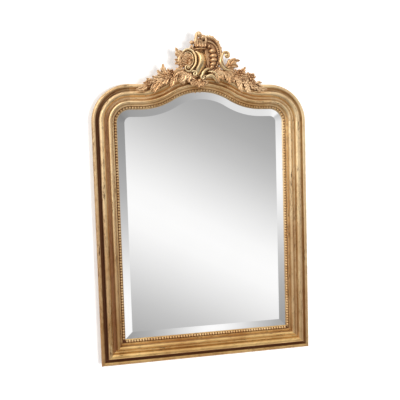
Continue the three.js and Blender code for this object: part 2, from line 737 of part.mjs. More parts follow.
// Lobed leaf: two rounded halves beside a sunk rib, its tip curling towards the viewer.
function leaf(root, tip, width, bow, lift, lobes = 3, section = LEAF_SECTION, thickness = LEAF_THICKNESS) {
  const dx = tip[0] - root[0];
  const dz = tip[1] - root[1];
  const mid = V((root[0] + tip[0]) / 2 - dz * bow, (root[1] + tip[1]) / 2 + dx * bow, lift * 0.3);
  const points = [V(root[0], root[1], root[2] ?? 0), mid, V(tip[0], tip[1], lift)];
  const steps = lobes * 2;
  return carvedSweep(section, points, steps, leafWidth(width, steps), (t) => thickness * (1.1 - 0.6 * t));
}

// Row of leaves, each given by its root, its tip, its half width, its bow and its lobes.
function leaves(rows, section = LEAF_SECTION, lift = 6) {
  return rows.map(([rootX, rootZ, tipX, tipZ, width, bow, lobes]) => leaf(
    [rootX, rootZ, 1], [tipX, tipZ], width, bow, lift, lobes, section,
  ));
}

// Turned boss with petals round it.
function rosette(x, z, radius, height, petals, h = 0) {
  const profile = [
    [0, 0], [radius * 0.7, 0], [radius, height * 0.45], [radius * 0.66, height * 0.8],
    [radius * 0.36, height * 0.5], [radius * 0.26, height * 0.95], [0, height],
  ].map(([r, y]) => new THREE.Vector2(r, y));
  const geometry = new THREE.LatheGeometry(profile, petals * 2);
  const position = geometry.attributes.position;
  for (let i = 0; i < position.count; i += 1) {
    const px = position.getX(i);
    const pz = position.getZ(i);
    const r = Math.hypot(px, pz);
    const wave = r > radius * 0.5 ? 1 - 0.12 * (1 - Math.cos(petals * Math.atan2(px, pz))) : 1;
    position.setXYZ(i, px * wave, position.getY(i), pz * wave);
  }
  geometry.rotateX(Math.PI);
  return placedCarving(geometry, x, z, h);
}

function berry(x, z, radius, h) {
  return placedCarving(new THREE.SphereGeometry(radius, 6, 3), x, z, h);
}

// Cushioned relief with a flat back, drawn by its outline.
function relief(points, height, edge, segments = 2, samples = 4) {
  const shape = new THREE.Shape();
  const curve = new THREE.CatmullRomCurve3(points.map(([x, z]) => V(x, z)), true, 'centripetal');
  const drawn = curve.getPoints(points.length * samples / 2).slice(0, -1);
  shape.setFromPoints(drawn.map((p) => new THREE.Vector2(p.x, p.y)));
  const geometry = new THREE.ExtrudeGeometry(shape, {
    depth: height - edge, bevelEnabled: true, bevelThickness: edge, bevelSize: edge,
    bevelOffset: -edge, bevelSegments: segments, steps: 1,
  });
  const position = geometry.attributes.position;
  for (let i = 0; i < position.count; i += 1) {
    position.setZ(i, Math.max(position.getZ(i), 0));
  }
  geometry.rotateX(QUARTER);
  return placedCarving(geometry, 0, 0, 0);
}

// Smooth crescent, widest above its middle and drawn to a point at the foot.
function cartouche() {
  const spine = [V(-12, 58), V(-5, 46), V(-2, 24), V(-6, 3), V(-13, -22), V(-18, -44)];
  const halfWidth = 24;
  return carvedSweep(DOME, spine, 12,
    (t) => 2 + halfWidth * Math.cos(QUARTER * (0.12 + 0.86 * t)) ** 0.7,
    (t) => 3 + (CARTOUCHE_RELIEF / DRAWN - 3) * Math.sin(Math.PI * (t * 0.8 + 0.18)) ** 0.6);
}

function leftScroll() {
  const path = [
    V(-84, 43, 6), V(-72, 55, 9), V(-55, 60, 10), V(-38, 52, 12), V(-29, 36, 13), V(-27, 18, 13), V(-31, 0, 12),
    V(-42, -14, 11), ...volute(-60, -12, 15, 4, -QUARTER * 0.7, -1.2, 7, 9, 7),
  ];
  return scroll(path, 24, 2.6, 6.4, 0.42);
}

function rocaillePanel() {
  return relief([
    [-52, 58], [-34, 37], [-30, 13], [-42, -11], [-62, -16], [-84, 3], [-88, 27], [-74, 49],
  ], 11, 5, 1, 4);
}

function leftWing() {
  return join([
    mound([V(-70, 54), V(-86, 40), V(-94, 18), V(-84, -8)], 6, 9, 11),
    ...leaves([
      [-80, 32, -108, 67, 12, 0.1, 3], [-84, 27, -111, 39, 10, -0.12, 2],
      [-82, 16, -113, 21, 9, 0.1, 2], [-80, 8, -112, 1, 12, -0.12, 2],
    ]),
  ]);
}

function leftAcanthus() {
  return join([
    mound([V(-38, -32), V(-60, -34), V(-84, -35), V(-106, -38)], 6, 15, 9),
    ...leaves([
      [-76, -18, -114, -22, 12, 0.16, 2], [-74, -24, -120, -51, 15, -0.18, 3], [-70, -28, -96, -74, 14, 0.14, 3],
      [-62, -30, -80, -82, 12, -0.08, 3], [-54, -32, -60, -72, 11, 0.08, 2],
    ]),
  ]);
}

// Hollow shell: fat ribs stacked under the arch of the rim, on a dished ground.
function shell() {
  const ribs = [[29, 72, 9, 8, 0.5], [42, 55, 14, 10, 0.2], [47, 36, 15, 9.5, 0.06], [47, 18, 14, 9, -0.1],
    [42, 1, 12, 8, -0.25]];
  const ground = relief([
    [4, 97], [24, 107], [46, 101], [64, 84], [73, 60], [74, 30], [68, -6], [44, -20], [22, -17], [15, 10], [13, 40],
  ], 6, 2, 1, 4);
  return join([ground, ...ribs.map(([x, z, long, thick, lean]) => {
    const dx = Math.cos(lean) * long;
    const dz = -Math.sin(lean) * long;
    return carvedSweep(ROUND, [V(x - dx, z - dz, 4), V(x, z, 9), V(x + dx, z + dz, 5)], 3,
      (s) => thick * (0.4 + 0.6 * Math.sin(s * Math.PI)), () => 8);
  })]);
}

function shellRim() {
  const path = [V(4, 99, 7), V(24, 110, 9), V(44, 106, 10), V(61, 93, 10), V(73, 72, 10), V(77, 50, 9), V(74, 14, 7)];
  const knobs = [[25, 112, 6.5], [43, 108, 8], [64, 90, 8.5], [75, 68, 7], [79, 46, 6]];
  return join([
    scroll(path, 10, 3, 6.4),
    ...knobs.map(([x, z, r]) => berry(x, z, r, 13)),
  ]);
}

function finial() {
  return join([
    relief([[-32, 66], [-29, 88], [-16, 103], [4, 102], [13, 86], [16, 66], [-8, 58]], 22, 8, 1, 3),
    scroll([V(-30, 74, 9), V(-29, 96, 14), ...volute(-11, 116, 12, 5, Math.PI * 1.05, -1.0, 6, 15, 5)],
      14, 3.6, 7, 0.4),
    scroll([V(12, 84, 10), V(17, 96, 13), ...volute(4, 107, 10, 4.5, 0, 0.9, 5, 13, 4)], 9, 3.4, 5.6, 0.4),
    berry(-11, 117.5, 9.4, 18),
  ]);
}

function bud() {
  return join([
    scroll([V(-36, 56, 7), V(-39, 70, 9), V(-41, 82, 9)], 4, 4, 4.8),
    berry(-41, 87, 9, 9),
  ]);
}

function rightScroll() {
  const path = [
    ...volute(101, 38, 19, 5, Math.PI, -1.15, 9, 10, 8).reverse(),
    V(77, 27, 11), V(74, 10, 12), V(81, -6, 12), V(94, -16, 11), V(110, -21, 9), V(128, -22, 6),
  ];
  return scroll(path, 24, 3.2, 7, 0.6);
}

function rightLeaf() {
  return join(leaves([
    [98, -16, 158, 19, 14, 0.2, 4], [112, -4, 151, -7, 12, 0.14, 3], [108, -4, 140, 26, 10, 0.12, 3],
  ]));
}

function rightAcanthus() {
  return join([
    mound([V(34, -26), V(58, -28), V(86, -33), V(122, -41)], 6, 15, 10),
    ...leaves([
      [62, -28, 70, -70, 13, -0.1, 3], [76, -18, 88, -60, 14, -0.14, 3], [88, -25, 112, -78, 14, 0.12, 3],
      [96, -25, 132, -60, 13, 0.12, 3],
    ]),
  ]);
}

function centreScrolls() {
  return join([
    scroll([V(30, -14, 7), V(14, -20, 10), V(3, -32, 11), ...volute(0, -51, 10, 4, 1.2, 0.9, 5, 11, 4)], 12, 3, 6.4),
    scroll([V(8, -58, 6), V(18, -47, 9), V(36, -41, 11), V(50, -51, 9), V(61, -67, 5)], 8, 2.4, 6.2),
    scroll([V(-56, -29, 5), V(-44, -25, 8), ...volute(-33, -37, 11, 4, QUARTER, -0.95, 5, 9, 5)], 10, 2.8, 5.6),
  ]);
}

function centreDrop() {
  return join([
    rosette(-14, -66, 16, 18, 5, 0),
    ...leaves([
      [-20, -62, -56, -77, 11, 0.16, 2], [-20, -66, -38, -91, 10, 0.1, 2], [-12, -72, -18, -103, 9, 0.06, 2],
      [-4, -72, 8, -99, 10, -0.1, 2], [-2, -66, 24, -79, 10, -0.14, 2],
    ]),
  ]);
}

// A spray: a stem of small foliage with leaves and berries.
function spray(stem, width, rows, berries) {
  return join([
    mound(stem.map(([x, z]) => V(x, z)), 8, width, 8),
    ...leaves(rows, SMALL_LEAF_SECTION),
    ...berries.map(([x, z, r]) => berry(x, z, r, 7)),
  ]);
}

function leftSpray() {
  return spray(
    [[-98, -39], [-128, -45], [-160, -57], [-194, -71], [-226, -83], [-256, -95]], 13,
    [
      [-148, -43, -160, 4, 12, 0.1, 3], [-150, -46, -184, -21, 12, 0.14, 2], [-160, -53, -206, -46, 13, 0.14, 3],
      [-122, -51, -132, -90, 13, 0.1, 3], [-150, -63, -200, -113, 17, -0.12, 3], [-172, -61, -206, -97, 12, 0.12, 2],
      [-190, -65, -229, -54, 11, 0.14, 2], [-206, -73, -242, -71, 10, 0.1, 2], [-222, -84, -273, -101, 12, 0.06, 3],
    ],
    [[-180, -72, 6], [-138, -34, 5.5]],
  );
}

function rightSpray() {
  return spray(
    [[112, -37], [142, -43], [174, -53], [204, -65], [232, -81], [258, -93]], 14,
    [
      [174, -42, 181, -5, 10, 0.14, 2], [134, -41, 126, -69, 12, 0.1, 2], [148, -49, 146, -87, 12, 0.1, 2],
      [160, -57, 164, -110, 13, -0.08, 3], [188, -73, 203, -119, 13, -0.12, 3], [206, -71, 226, -101, 12, -0.1, 2],
      [226, -77, 251, -69, 10, 0.12, 2], [236, -83, 274, -99, 11, -0.08, 2],
    ],
    [[184, -70, 7], [198, -80, 6.5], [236, -74, 6.5]],
  );
}

// Flowers beside the sprays: name, place in the drawing, radius, height and petals.
const FLOWERS = [
  ['left_rosette', -124, -28, 12, 17, 5],
  ['left_flower', -220, -72, 13, 16, 5],
  ['right_rosette', 158, -30, 15, 19, 6],
  ['right_flower', 207, -46, 16, 19, 6],
];

// ================= Cuts between neighbours =================

// The same body with every corner moved out until each face beside it has moved by the gap.
function grown(geometry, gap) {
  const body = shared(geometry).clone();
  body.userData = { shared: true };
  body.computeVertexNormals();
  const position = body.attributes.position;
  const normal = body.attributes.normal;
  const index = body.index;
  const least = new Float32Array(position.count).fill(1);
  const [a, b, c] = [new THREE.Vector3(), new THREE.Vector3(), new THREE.Vector3()];
  const mean = new THREE.Vector3();
  for (let i = 0; i < index.count; i += 3) {
    const corners = [index.getX(i), index.getX(i + 1), index.getX(i + 2)];
    a.fromBufferAttribute(position, corners[0]);
    b.fromBufferAttribute(position, corners[1]).sub(a);
    c.fromBufferAttribute(position, corners[2]).sub(a);
    const face = b.cross(c).normalize();
    for (const corner of corners) {
      least[corner] = Math.min(least[corner], face.dot(mean.fromBufferAttribute(normal, corner)));
    }
  }
  for (let i = 0; i < position.count; i += 1) {
    const reach = gap / Math.max(least[i], 0.4);
    position.setXYZ(i, position.getX(i) + reach * normal.getX(i), position.getY(i) + reach * normal.getY(i),
      position.getZ(i) + reach * normal.getZ(i));
  }
  return body;
}

function boxOf(geometry) {
  geometry.computeBoundingBox();
  return geometry.boundingBox;
}

// Carved pieces in the order in which they were let into each other: the first are whole.
function carvings() {
  const order = [
    ['cartouche', cartouche(), BRIGHT_GILT],
    ['left_c_scroll', leftScroll(), BRIGHT_GILT],
    ['right_c_scroll', rightScroll(), BRIGHT_GILT],
    ['finial', finial(), BRIGHT_GILT],
    ['bud', bud(), GILT],
    ['shell_rim', shellRim(), BRIGHT_GILT],
    ['shell', shell(), GILT],
    ['rocaille_panel', rocaillePanel(), RED_GILT],
    ['centre_scrolls', centreScrolls(), GILT],
    ['left_wing', leftWing(), GILT],
    ['left_acanthus', leftAcanthus(), WORN_GILT],
    ['right_leaf', rightLeaf(), GILT],
    ['right_acanthus', rightAcanthus(), GILT],
    ['centre_drop', centreDrop(), WORN_GILT],
    ...FLOWERS.map(([name, x, z, radius, height, petals]) => [name, rosette(x, z, radius, height, petals), GILT]),
    ['left_spray', leftSpray(), GILT],
    ['right_spray', rightSpray(), GILT],
  ];
  const made = [];
  for (const [name, geometry, finish] of order) {
    const box = boxOf(geometry).clone().expandByScalar(JOINT_GAP * 2);
    const near = made.filter((other) => boxOf(other.geometry).intersectsBox(box));
    const cutters = near.flatMap((other) => [grown(other.geometry, JOINT_GAP), other.geometry]);
    const shaped = cutters.length ? cut(geometry, cutters) : geometry;
    made.push({ name, geometry: shaped, finish });
  }
  return made;
}

// ================= The assembly =================

const group = new THREE.Group();
const frame = new THREE.Group();
frame.position.set(0, BACK_Y, 0);
const crest = new THREE.Group();
crest.position.set(0, BACK_Y, 0);
const carving = new THREE.Group();
carving.position.set(0, BACK_Y - CARVING_BACK, RAIL_TOP);
group.add(frame, crest, carving);

function add(parent, name, geometry, finish, place = [0, 0, 0]) {
  const faceted = geometry.index ? geometry.toNonIndexed() : geometry.clone();
  faceted.computeVertexNormals();
  const mesh = new THREE.Mesh(faceted, new THREE.MeshStandardMaterial(finish));
  mesh.name = name;
  mesh.position.set(...place);
  parent.add(mesh);
}

const half = JOINT_GAP / 2;
const mitre = JOINT_GAP / 2 * Math.SQRT2;
const moulding = mouldingSection();
const keys = keyPlaces();
const pockets = Object.fromEntries(keys.map((place) => [place.name, placedKey(place, POCKET_CLEARANCE)]));

const leftStile = framePiece(moulding, ['leftStile'], mitre, half, -1, 0);
const rightStile = framePiece(moulding, ['rightStile'], half, mitre, 0, 1);
const bottomRail = framePiece(moulding, ['bottomRail'], mitre, mitre, -1, 1);
const leftCorner = framePiece(moulding, ['leftCorner'], half, half, 0, 0, 3);
const rightCorner = framePiece(moulding, ['rightCorner'], half, half, 0, 0, 3);
const topRail = framePiece(moulding, TOP_RUNS, half, half, 0, 0, 3);

add(frame, 'left_stile', cut(leftStile, [pockets.left_mitre_key, pockets.left_stile_key, hangerPocket(-1)]), GILT);
add(frame, 'right_stile', cut(rightStile, [pockets.right_mitre_key, pockets.right_stile_key, hangerPocket(1)]), GILT);
add(frame, 'bottom_rail', cut(bottomRail, [pockets.left_mitre_key, pockets.right_mitre_key]), WORN_GILT);
add(frame, 'left_corner', cut(leftCorner, [pockets.left_stile_key, pockets.left_shoulder_key]), GILT);
add(frame, 'right_corner', cut(rightCorner, [pockets.right_stile_key, pockets.right_shoulder_key]), GILT);
add(frame, 'top_rail', cut(topRail, [
  pockets.left_shoulder_key, pockets.right_shoulder_key, stayRecess(), ...dowels(POCKET_CLEARANCE),
]), WORN_GILT);

for (const place of keys) {
  add(frame, place.name, placedKey(place, 0), PINE);
}

add(frame, 'left_pearls', pearlStrip(['leftStile'], -1, 0), BRIGHT_GILT);
add(frame, 'top_pearls', pearlStrip(['leftCorner', ...TOP_RUNS, 'rightCorner'], 0, 0), BRIGHT_GILT);
add(frame, 'right_pearls', pearlStrip(['rightStile'], 0, 1), BRIGHT_GILT);
add(frame, 'bottom_pearls', pearlStrip(['bottomRail'], -1, 1), BRIGHT_GILT);

add(frame, 'mirror_glass', mirrorGlass(), GLASS);
backBoards().forEach((board, i) => add(frame, `back_board_${i + 1}`, board, OLD_PINE));
const BLOCKS = [['leftStile', 0.2], ['leftStile', 0.75], ['rightStile', 0.25], ['rightStile', 0.8],
  ['bottomRail', 0.2], ['bottomRail', 0.8]];
BLOCKS.forEach(([run, t], i) => add(frame, `glazing_block_${i + 1}`, glazingBlock(run, t), PINE));

for (const [side, word] of [[-1, 'left'], [1, 'right']]) {
  const eye = [hangerX(side), -EYE_HEIGHT, HANGER_HEIGHT];
  add(frame, `${word}_hanger_plate`, hangerPlate(), IRON, eye);
  add(frame, `${word}_hanging_ring`, hangingRing(), IRON, eye);
}

add(crest, 'crest_core', crestCore(), PINE);
dowels(0).forEach((dowel, i) => add(crest, `crest_dowel_${i + 1}`, dowel, PINE));
add(crest, 'crest_stay', crestStay(0), IRON);
for (const { name, geometry, finish } of carvings()) {
  add(carving, name, geometry, finish);
}

export default group;
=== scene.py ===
"""Looks of an arched giltwood overmantel mirror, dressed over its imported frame."""

import logging
import math
from dataclasses import dataclass, field
from enum import Enum
from functools import partial
from typing import Callable, Iterable, Sequence

import bmesh
import bpy
import numpy as np
from mathutils import Matrix, Vector
from mathutils.bvhtree import BVHTree


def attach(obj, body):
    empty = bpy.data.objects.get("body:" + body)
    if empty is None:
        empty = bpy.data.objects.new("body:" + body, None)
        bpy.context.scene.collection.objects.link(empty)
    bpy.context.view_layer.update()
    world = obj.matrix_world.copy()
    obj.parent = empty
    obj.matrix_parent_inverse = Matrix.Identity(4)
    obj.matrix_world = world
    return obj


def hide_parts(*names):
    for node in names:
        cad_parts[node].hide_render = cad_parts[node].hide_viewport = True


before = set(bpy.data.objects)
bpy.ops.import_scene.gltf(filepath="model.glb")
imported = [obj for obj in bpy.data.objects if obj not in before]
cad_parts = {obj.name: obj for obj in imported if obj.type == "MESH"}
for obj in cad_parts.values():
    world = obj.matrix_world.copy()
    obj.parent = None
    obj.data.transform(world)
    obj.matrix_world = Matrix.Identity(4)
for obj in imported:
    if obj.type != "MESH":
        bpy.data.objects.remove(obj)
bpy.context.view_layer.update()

LOG = logging.getLogger("overmantel_mirror")
MM = 0.001
TAU = 2.0 * math.pi

Pair = tuple[float, float]
Triple = tuple[float, float, float]
Colour = tuple[float, float, float]
Material = bpy.types.Material
Socket = bpy.types.NodeSocket
Value = Socket | float
Tint = Socket | Colour


class Run(Enum):
    """The runs of the sight edge."""

    LEFT_STILE = "left_stile"
    LEFT_CORNER = "left_corner"
    LEFT_SHOULDER = "left_shoulder"
    LEFT_HOLLOW = "left_hollow"
    ARCH = "arch"
    RIGHT_HOLLOW = "right_hollow"
    RIGHT_SHOULDER = "right_shoulder"
    RIGHT_CORNER = "right_corner"
    RIGHT_STILE = "right_stile"
    BOTTOM_RAIL = "bottom_rail"


class Slot(Enum):
    """Material slots of the record, one handed to each made piece."""

    GILDING = "gilding"
    WORN_GILDING = "worn_gilding"
    BRIGHT_GILDING = "bright_gilding"
    RED_BOLE = "red_bole"
    MIRROR_PLATE = "mirror_plate"
    IRON = "iron"


class Sum(Enum):
    """Sums that a node can do."""

    ADD = "ADD"
    SUBTRACT = "SUBTRACT"
    MULTIPLY = "MULTIPLY"
    DIVIDE = "DIVIDE"
    MAXIMUM = "MAXIMUM"
    ABSOLUTE = "ABSOLUTE"


Stretch = tuple[Run, int]


# ---- Sizes shared by the sub-assemblies, in millimetres, as the solids have them


@dataclass(frozen=True)
class SightEdge:
    """The arched edge where the frame ends and the glass begins."""

    half_width: float = 350.0
    bottom: float = 100.0
    shoulder: float = 1047.5
    corner_radius: float = 55.0
    hollow_radius: float = 263.0
    arch_radius: float = 224.5
    arch_half_span: float = 254.0
    back: float = 41.65
    carving_back: float = 53.3

    @property
    def spring(self) -> float:
        """Height at which the corner arcs begin."""
        return self.shoulder - self.corner_radius

    @property
    def arch_angle(self) -> float:
        """Half angle of the arch."""
        return math.asin(self.arch_half_span / (self.hollow_radius + self.arch_radius))

    @property
    def arch_centre(self) -> float:
        """Height of the arch's centre."""
        reach = (self.hollow_radius + self.arch_radius) * math.cos(self.arch_angle)
        return self.shoulder + self.hollow_radius - reach

    def arc(self, cx: float, cz: float, radius: float, start: float, end: float,
            sign: float, count: int) -> np.ndarray:
        """Places along one arc.

        Args:
            cx: Centre, across.
            cz: Centre, up.
            radius: Radius of the arc.
            start: First angle in radians.
            end: Last angle in radians.
            sign: 1 where the frame lies outside the arc, -1 where it lies inside.
            count: Number of places.

        Returns:
            Rows of x, z, outward x and outward z.
        """
        angle = np.linspace(start, end, count)
        dx, dz = np.cos(angle), np.sin(angle)
        return np.stack([cx + radius * dx, cz + radius * dz, sign * dx, sign * dz], axis=1)

    def run(self, run: Run, count: int) -> np.ndarray:
        """Places along one run of the edge, clockwise from the front.

        Args:
            run: The run.
            count: Number of places.

        Returns:
            Rows of x, z, outward x and outward z.
        """
        w, span, quarter = self.half_width, self.arch_half_span, math.pi / 2.0
        corner, angle = w - self.corner_radius, self.arch_angle
        hollow_centre = self.shoulder + self.hollow_radius
        arcs = {
            Run.LEFT_CORNER: (-corner, self.spring, self.corner_radius, math.pi, quarter, 1.0),
            Run.RIGHT_CORNER: (corner, self.spring, self.corner_radius, quarter, 0.0, 1.0),
            Run.LEFT_HOLLOW: (-span, hollow_centre, self.hollow_radius, -quarter, -quarter + angle, -1.0),
            Run.RIGHT_HOLLOW: (span, hollow_centre, self.hollow_radius, -quarter - angle, -quarter, -1.0),
            Run.ARCH: (0.0, self.arch_centre, self.arch_radius, quarter + angle, quarter - angle, 1.0),
        }
        if run in arcs:
            return self.arc(*arcs[run], count)
        ends = {
            Run.LEFT_STILE: ((-w, self.bottom), (-w, self.spring), (-1.0, 0.0)),
            Run.RIGHT_STILE: ((w, self.spring), (w, self.bottom), (1.0, 0.0)),
            Run.BOTTOM_RAIL: ((w, self.bottom), (-w, self.bottom), (0.0, -1.0)),
            Run.LEFT_SHOULDER: ((-corner, self.shoulder), (-span, self.shoulder), (0.0, 1.0)),
            Run.RIGHT_SHOULDER: ((span, self.shoulder), (corner, self.shoulder), (0.0, 1.0)),
        }
        first, last, out = ends[run]
        t = np.linspace(0.0, 1.0, count)[:, None]
        places = (1.0 - t) * np.array(first) + t * np.array(last)
        return np.hstack([places, np.repeat([out], count, axis=0)])

    def chain(self, parts: Sequence[Stretch]) -> np.ndarray:
        """Places along several runs, with no place twice.

        Args:
            parts: Runs, each with its number of places.

        Returns:
            Rows of x, z, outward x and outward z.
        """
        rows = [self.run(run, count) for run, count in parts]
        return np.vstack([rows[0]] + [row[1:] for row in rows[1:]])


EDGE = SightEdge()
TOP_RUNS: tuple[Stretch, ...] = (
    (Run.LEFT_SHOULDER, 4), (Run.LEFT_HOLLOW, 16), (Run.ARCH, 30), (Run.RIGHT_HOLLOW, 16),
    (Run.RIGHT_SHOULDER, 4),
)


# ---- Mesh making


@dataclass
class Solid:
    """Corners and faces of one piece in the making, in millimetres of x, z and height."""

    points: list[np.ndarray] = field(default_factory=list)
    faces: list[tuple[int, ...]] = field(default_factory=list)
    grain: list[np.ndarray] = field(default_factory=list)
    count: int = 0

    def add(self, points: np.ndarray, faces: Iterable[tuple[int, ...]],
            grain: np.ndarray | None = None) -> None:
        """Adds one closed shell.

        Args:
            points: Corners, one row each.
            faces: Corner numbers of each face.
            grain: Along, across and hollow depth for the painted shade of each corner, or None for none.
        """
        base = self.count
        self.points.append(points)
        self.grain.append(np.zeros((len(points), 3)) if grain is None else grain)
        self.faces.extend(tuple(base + i for i in face) for face in faces)
        self.count += len(points)

    def loft(self, rings: np.ndarray, closed: bool = False, grain: np.ndarray | None = None) -> None:
        """Adds the skin over a row of rings, with both ends capped.

        Args:
            rings: Array of rings, corners and coordinates.
            closed: True where the last ring meets the first.
            grain: Along, across and hollow depth for the painted shade of each corner.
        """
        n, m = rings.shape[:2]
        faces: list[tuple[int, ...]] = []
        for i in range(n if closed else n - 1):
            a, b = i * m, ((i + 1) % n) * m
            faces.extend((a + j, a + (j + 1) % m, b + (j + 1) % m, b + j) for j in range(m))
        if not closed:
            faces.append(tuple(range(m - 1, -1, -1)))
            faces.append(tuple((n - 1) * m + j for j in range(m)))
        flat = None if grain is None else grain.reshape(-1, 3)
        self.add(rings.reshape(-1, 3), faces, flat)

    def spindle(self, points: np.ndarray, rings: int, sectors: int) -> None:
        """Adds a skin from one pole over rings to another pole.

        Args:
            points: First pole, the rings one after another, and last pole.
            rings: Number of rings.
            sectors: Number of corners in a ring.
        """
        faces: list[tuple[int, ...]] = []
        last = 1 + (rings - 1) * sectors
        for j in range(sectors):
            k = (j + 1) % sectors
            faces.append((0, 1 + j, 1 + k))
            for a in range(1, last, sectors):
                b = a + sectors
                faces.append((a + j, b + j, b + k, a + k))
            faces.append((last + j, len(points) - 1, last + k))
        self.add(points, faces)

    def dome(self, centre: Pair, edge: np.ndarray, heights: np.ndarray, foot: float = 0.0) -> None:
        """Adds a closed relief over a star-shaped outline.

        Args:
            centre: Middle of the outline.
            edge: Outline, one row of x and z for each sector.
            heights: Height of each ring and sector, from the middle to the edge.
            foot: Height of the flat back.
        """
        rings, sectors = heights.shape
        middle = np.array(centre)
        rows = [np.array([[centre[0], centre[1], heights[0].mean()]])]
        for i in range(1, rings):
            plan = middle + (edge - middle) * (i / (rings - 1))
            rows.append(np.column_stack([plan, heights[i]]))
        rows.append(np.column_stack([edge, np.full(sectors, foot)]))
        rows.append(np.array([[centre[0], centre[1], foot]]))
        self.spindle(np.vstack(rows), rings, sectors)

    def ball(self, centre: Triple, radius: float, rings: int = 8, sectors: int = 12,
             squash: float = 1.0) -> None:
        """Adds a round knob.

        Args:
            centre: Middle of the knob.
            radius: Radius in plan.
            rings: Number of rings from pole to pole.
            sectors: Number of corners in a ring.
            squash: Height of the knob as a share of its width.
        """
        polar = np.linspace(0.0, math.pi, rings + 1)[1:-1]
        turn = np.linspace(0.0, TAU, sectors, endpoint=False)
        rows = [np.array([[0.0, 0.0, 1.0]])]
        for p in polar:
            rows.append(np.column_stack([
                math.sin(p) * np.cos(turn), math.sin(p) * np.sin(turn), np.full(sectors, math.cos(p))]))
        rows.append(np.array([[0.0, 0.0, -1.0]]))
        points = np.vstack(rows) * np.array([radius, radius, radius * squash]) + np.array(centre)
        self.spindle(points, len(polar), sectors)


def to_world(points: np.ndarray, base: float = 0.0) -> np.ndarray:
    """Turns x, z and height above the wall into metres of the shared frame.

    Args:
        points: Rows of x, z and height.
        base: Height that is added to each.

    Returns:
        Rows of world x, y and z.
    """
    return np.column_stack([points[:, 0], EDGE.back - points[:, 2] - base, points[:, 1]]) * MM


class PieceMaker:
    """Makes finished objects from solids, hides the solids that each stands for, and keeps a list of what it
    made.
    """

    made: list[bpy.types.Object] = []

    @classmethod
    def build(cls, name: str, solid: Solid, slot: Slot, finish: Material, nodes: Sequence[str] = (),
              base: float = 0.0, crease: float = 40.0, backing: Material | None = None,
              backed: Iterable[int] = ()) -> bpy.types.Object:
        """Makes one object, rides it on the frame and dresses it.

        Args:
            name: Name of the piece.
            solid: Its corners and faces.
            slot: Material slot of the record that it takes its finish from; not used.
            finish: Its material.
            nodes: Solids that it stands for.
            base: Height added to every corner.
            crease: Angle in degrees above which an edge stays sharp.
            backing: Second material, or None.
            backed: Faces that take the second material.

        Returns:
            The new object.
        """
        mesh = bpy.data.meshes.new(name)
        world = to_world(np.vstack(solid.points), base)
        mesh.from_pydata(world.tolist(), [], solid.faces)
        attribute = mesh.attributes.new("grain", "FLOAT_VECTOR", "POINT")
        attribute.data.foreach_set("vector", (np.vstack(solid.grain) * MM).astype(np.float32).ravel())
        cls.face_outwards(mesh)
        piece = bpy.data.objects.new(name, mesh)
        bpy.context.scene.collection.objects.link(piece)
        mesh.shade_smooth()
        mesh.set_sharp_from_angle(angle=math.radians(crease))
        mesh.materials.append(finish)
        if backing is not None:
            mesh.materials.append(backing)
            for index in backed:
                mesh.polygons[index].material_index = 1
        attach(piece, "frame")
        if nodes:
            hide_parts(*nodes)
        cls.made.append(piece)
        LOG.info("made %s: %d corners", name, len(mesh.vertices))
        return piece

    @staticmethod
    def face_outwards(mesh: bpy.types.Mesh) -> None:
        """Turns every face of every closed shell outwards.

        Args:
            mesh: The mesh to mend.
        """
        work = bmesh.new()
        work.from_mesh(mesh)
        bmesh.ops.recalc_face_normals(work, faces=work.faces)
        work.to_mesh(mesh)
        work.free()


# ---- Finishes


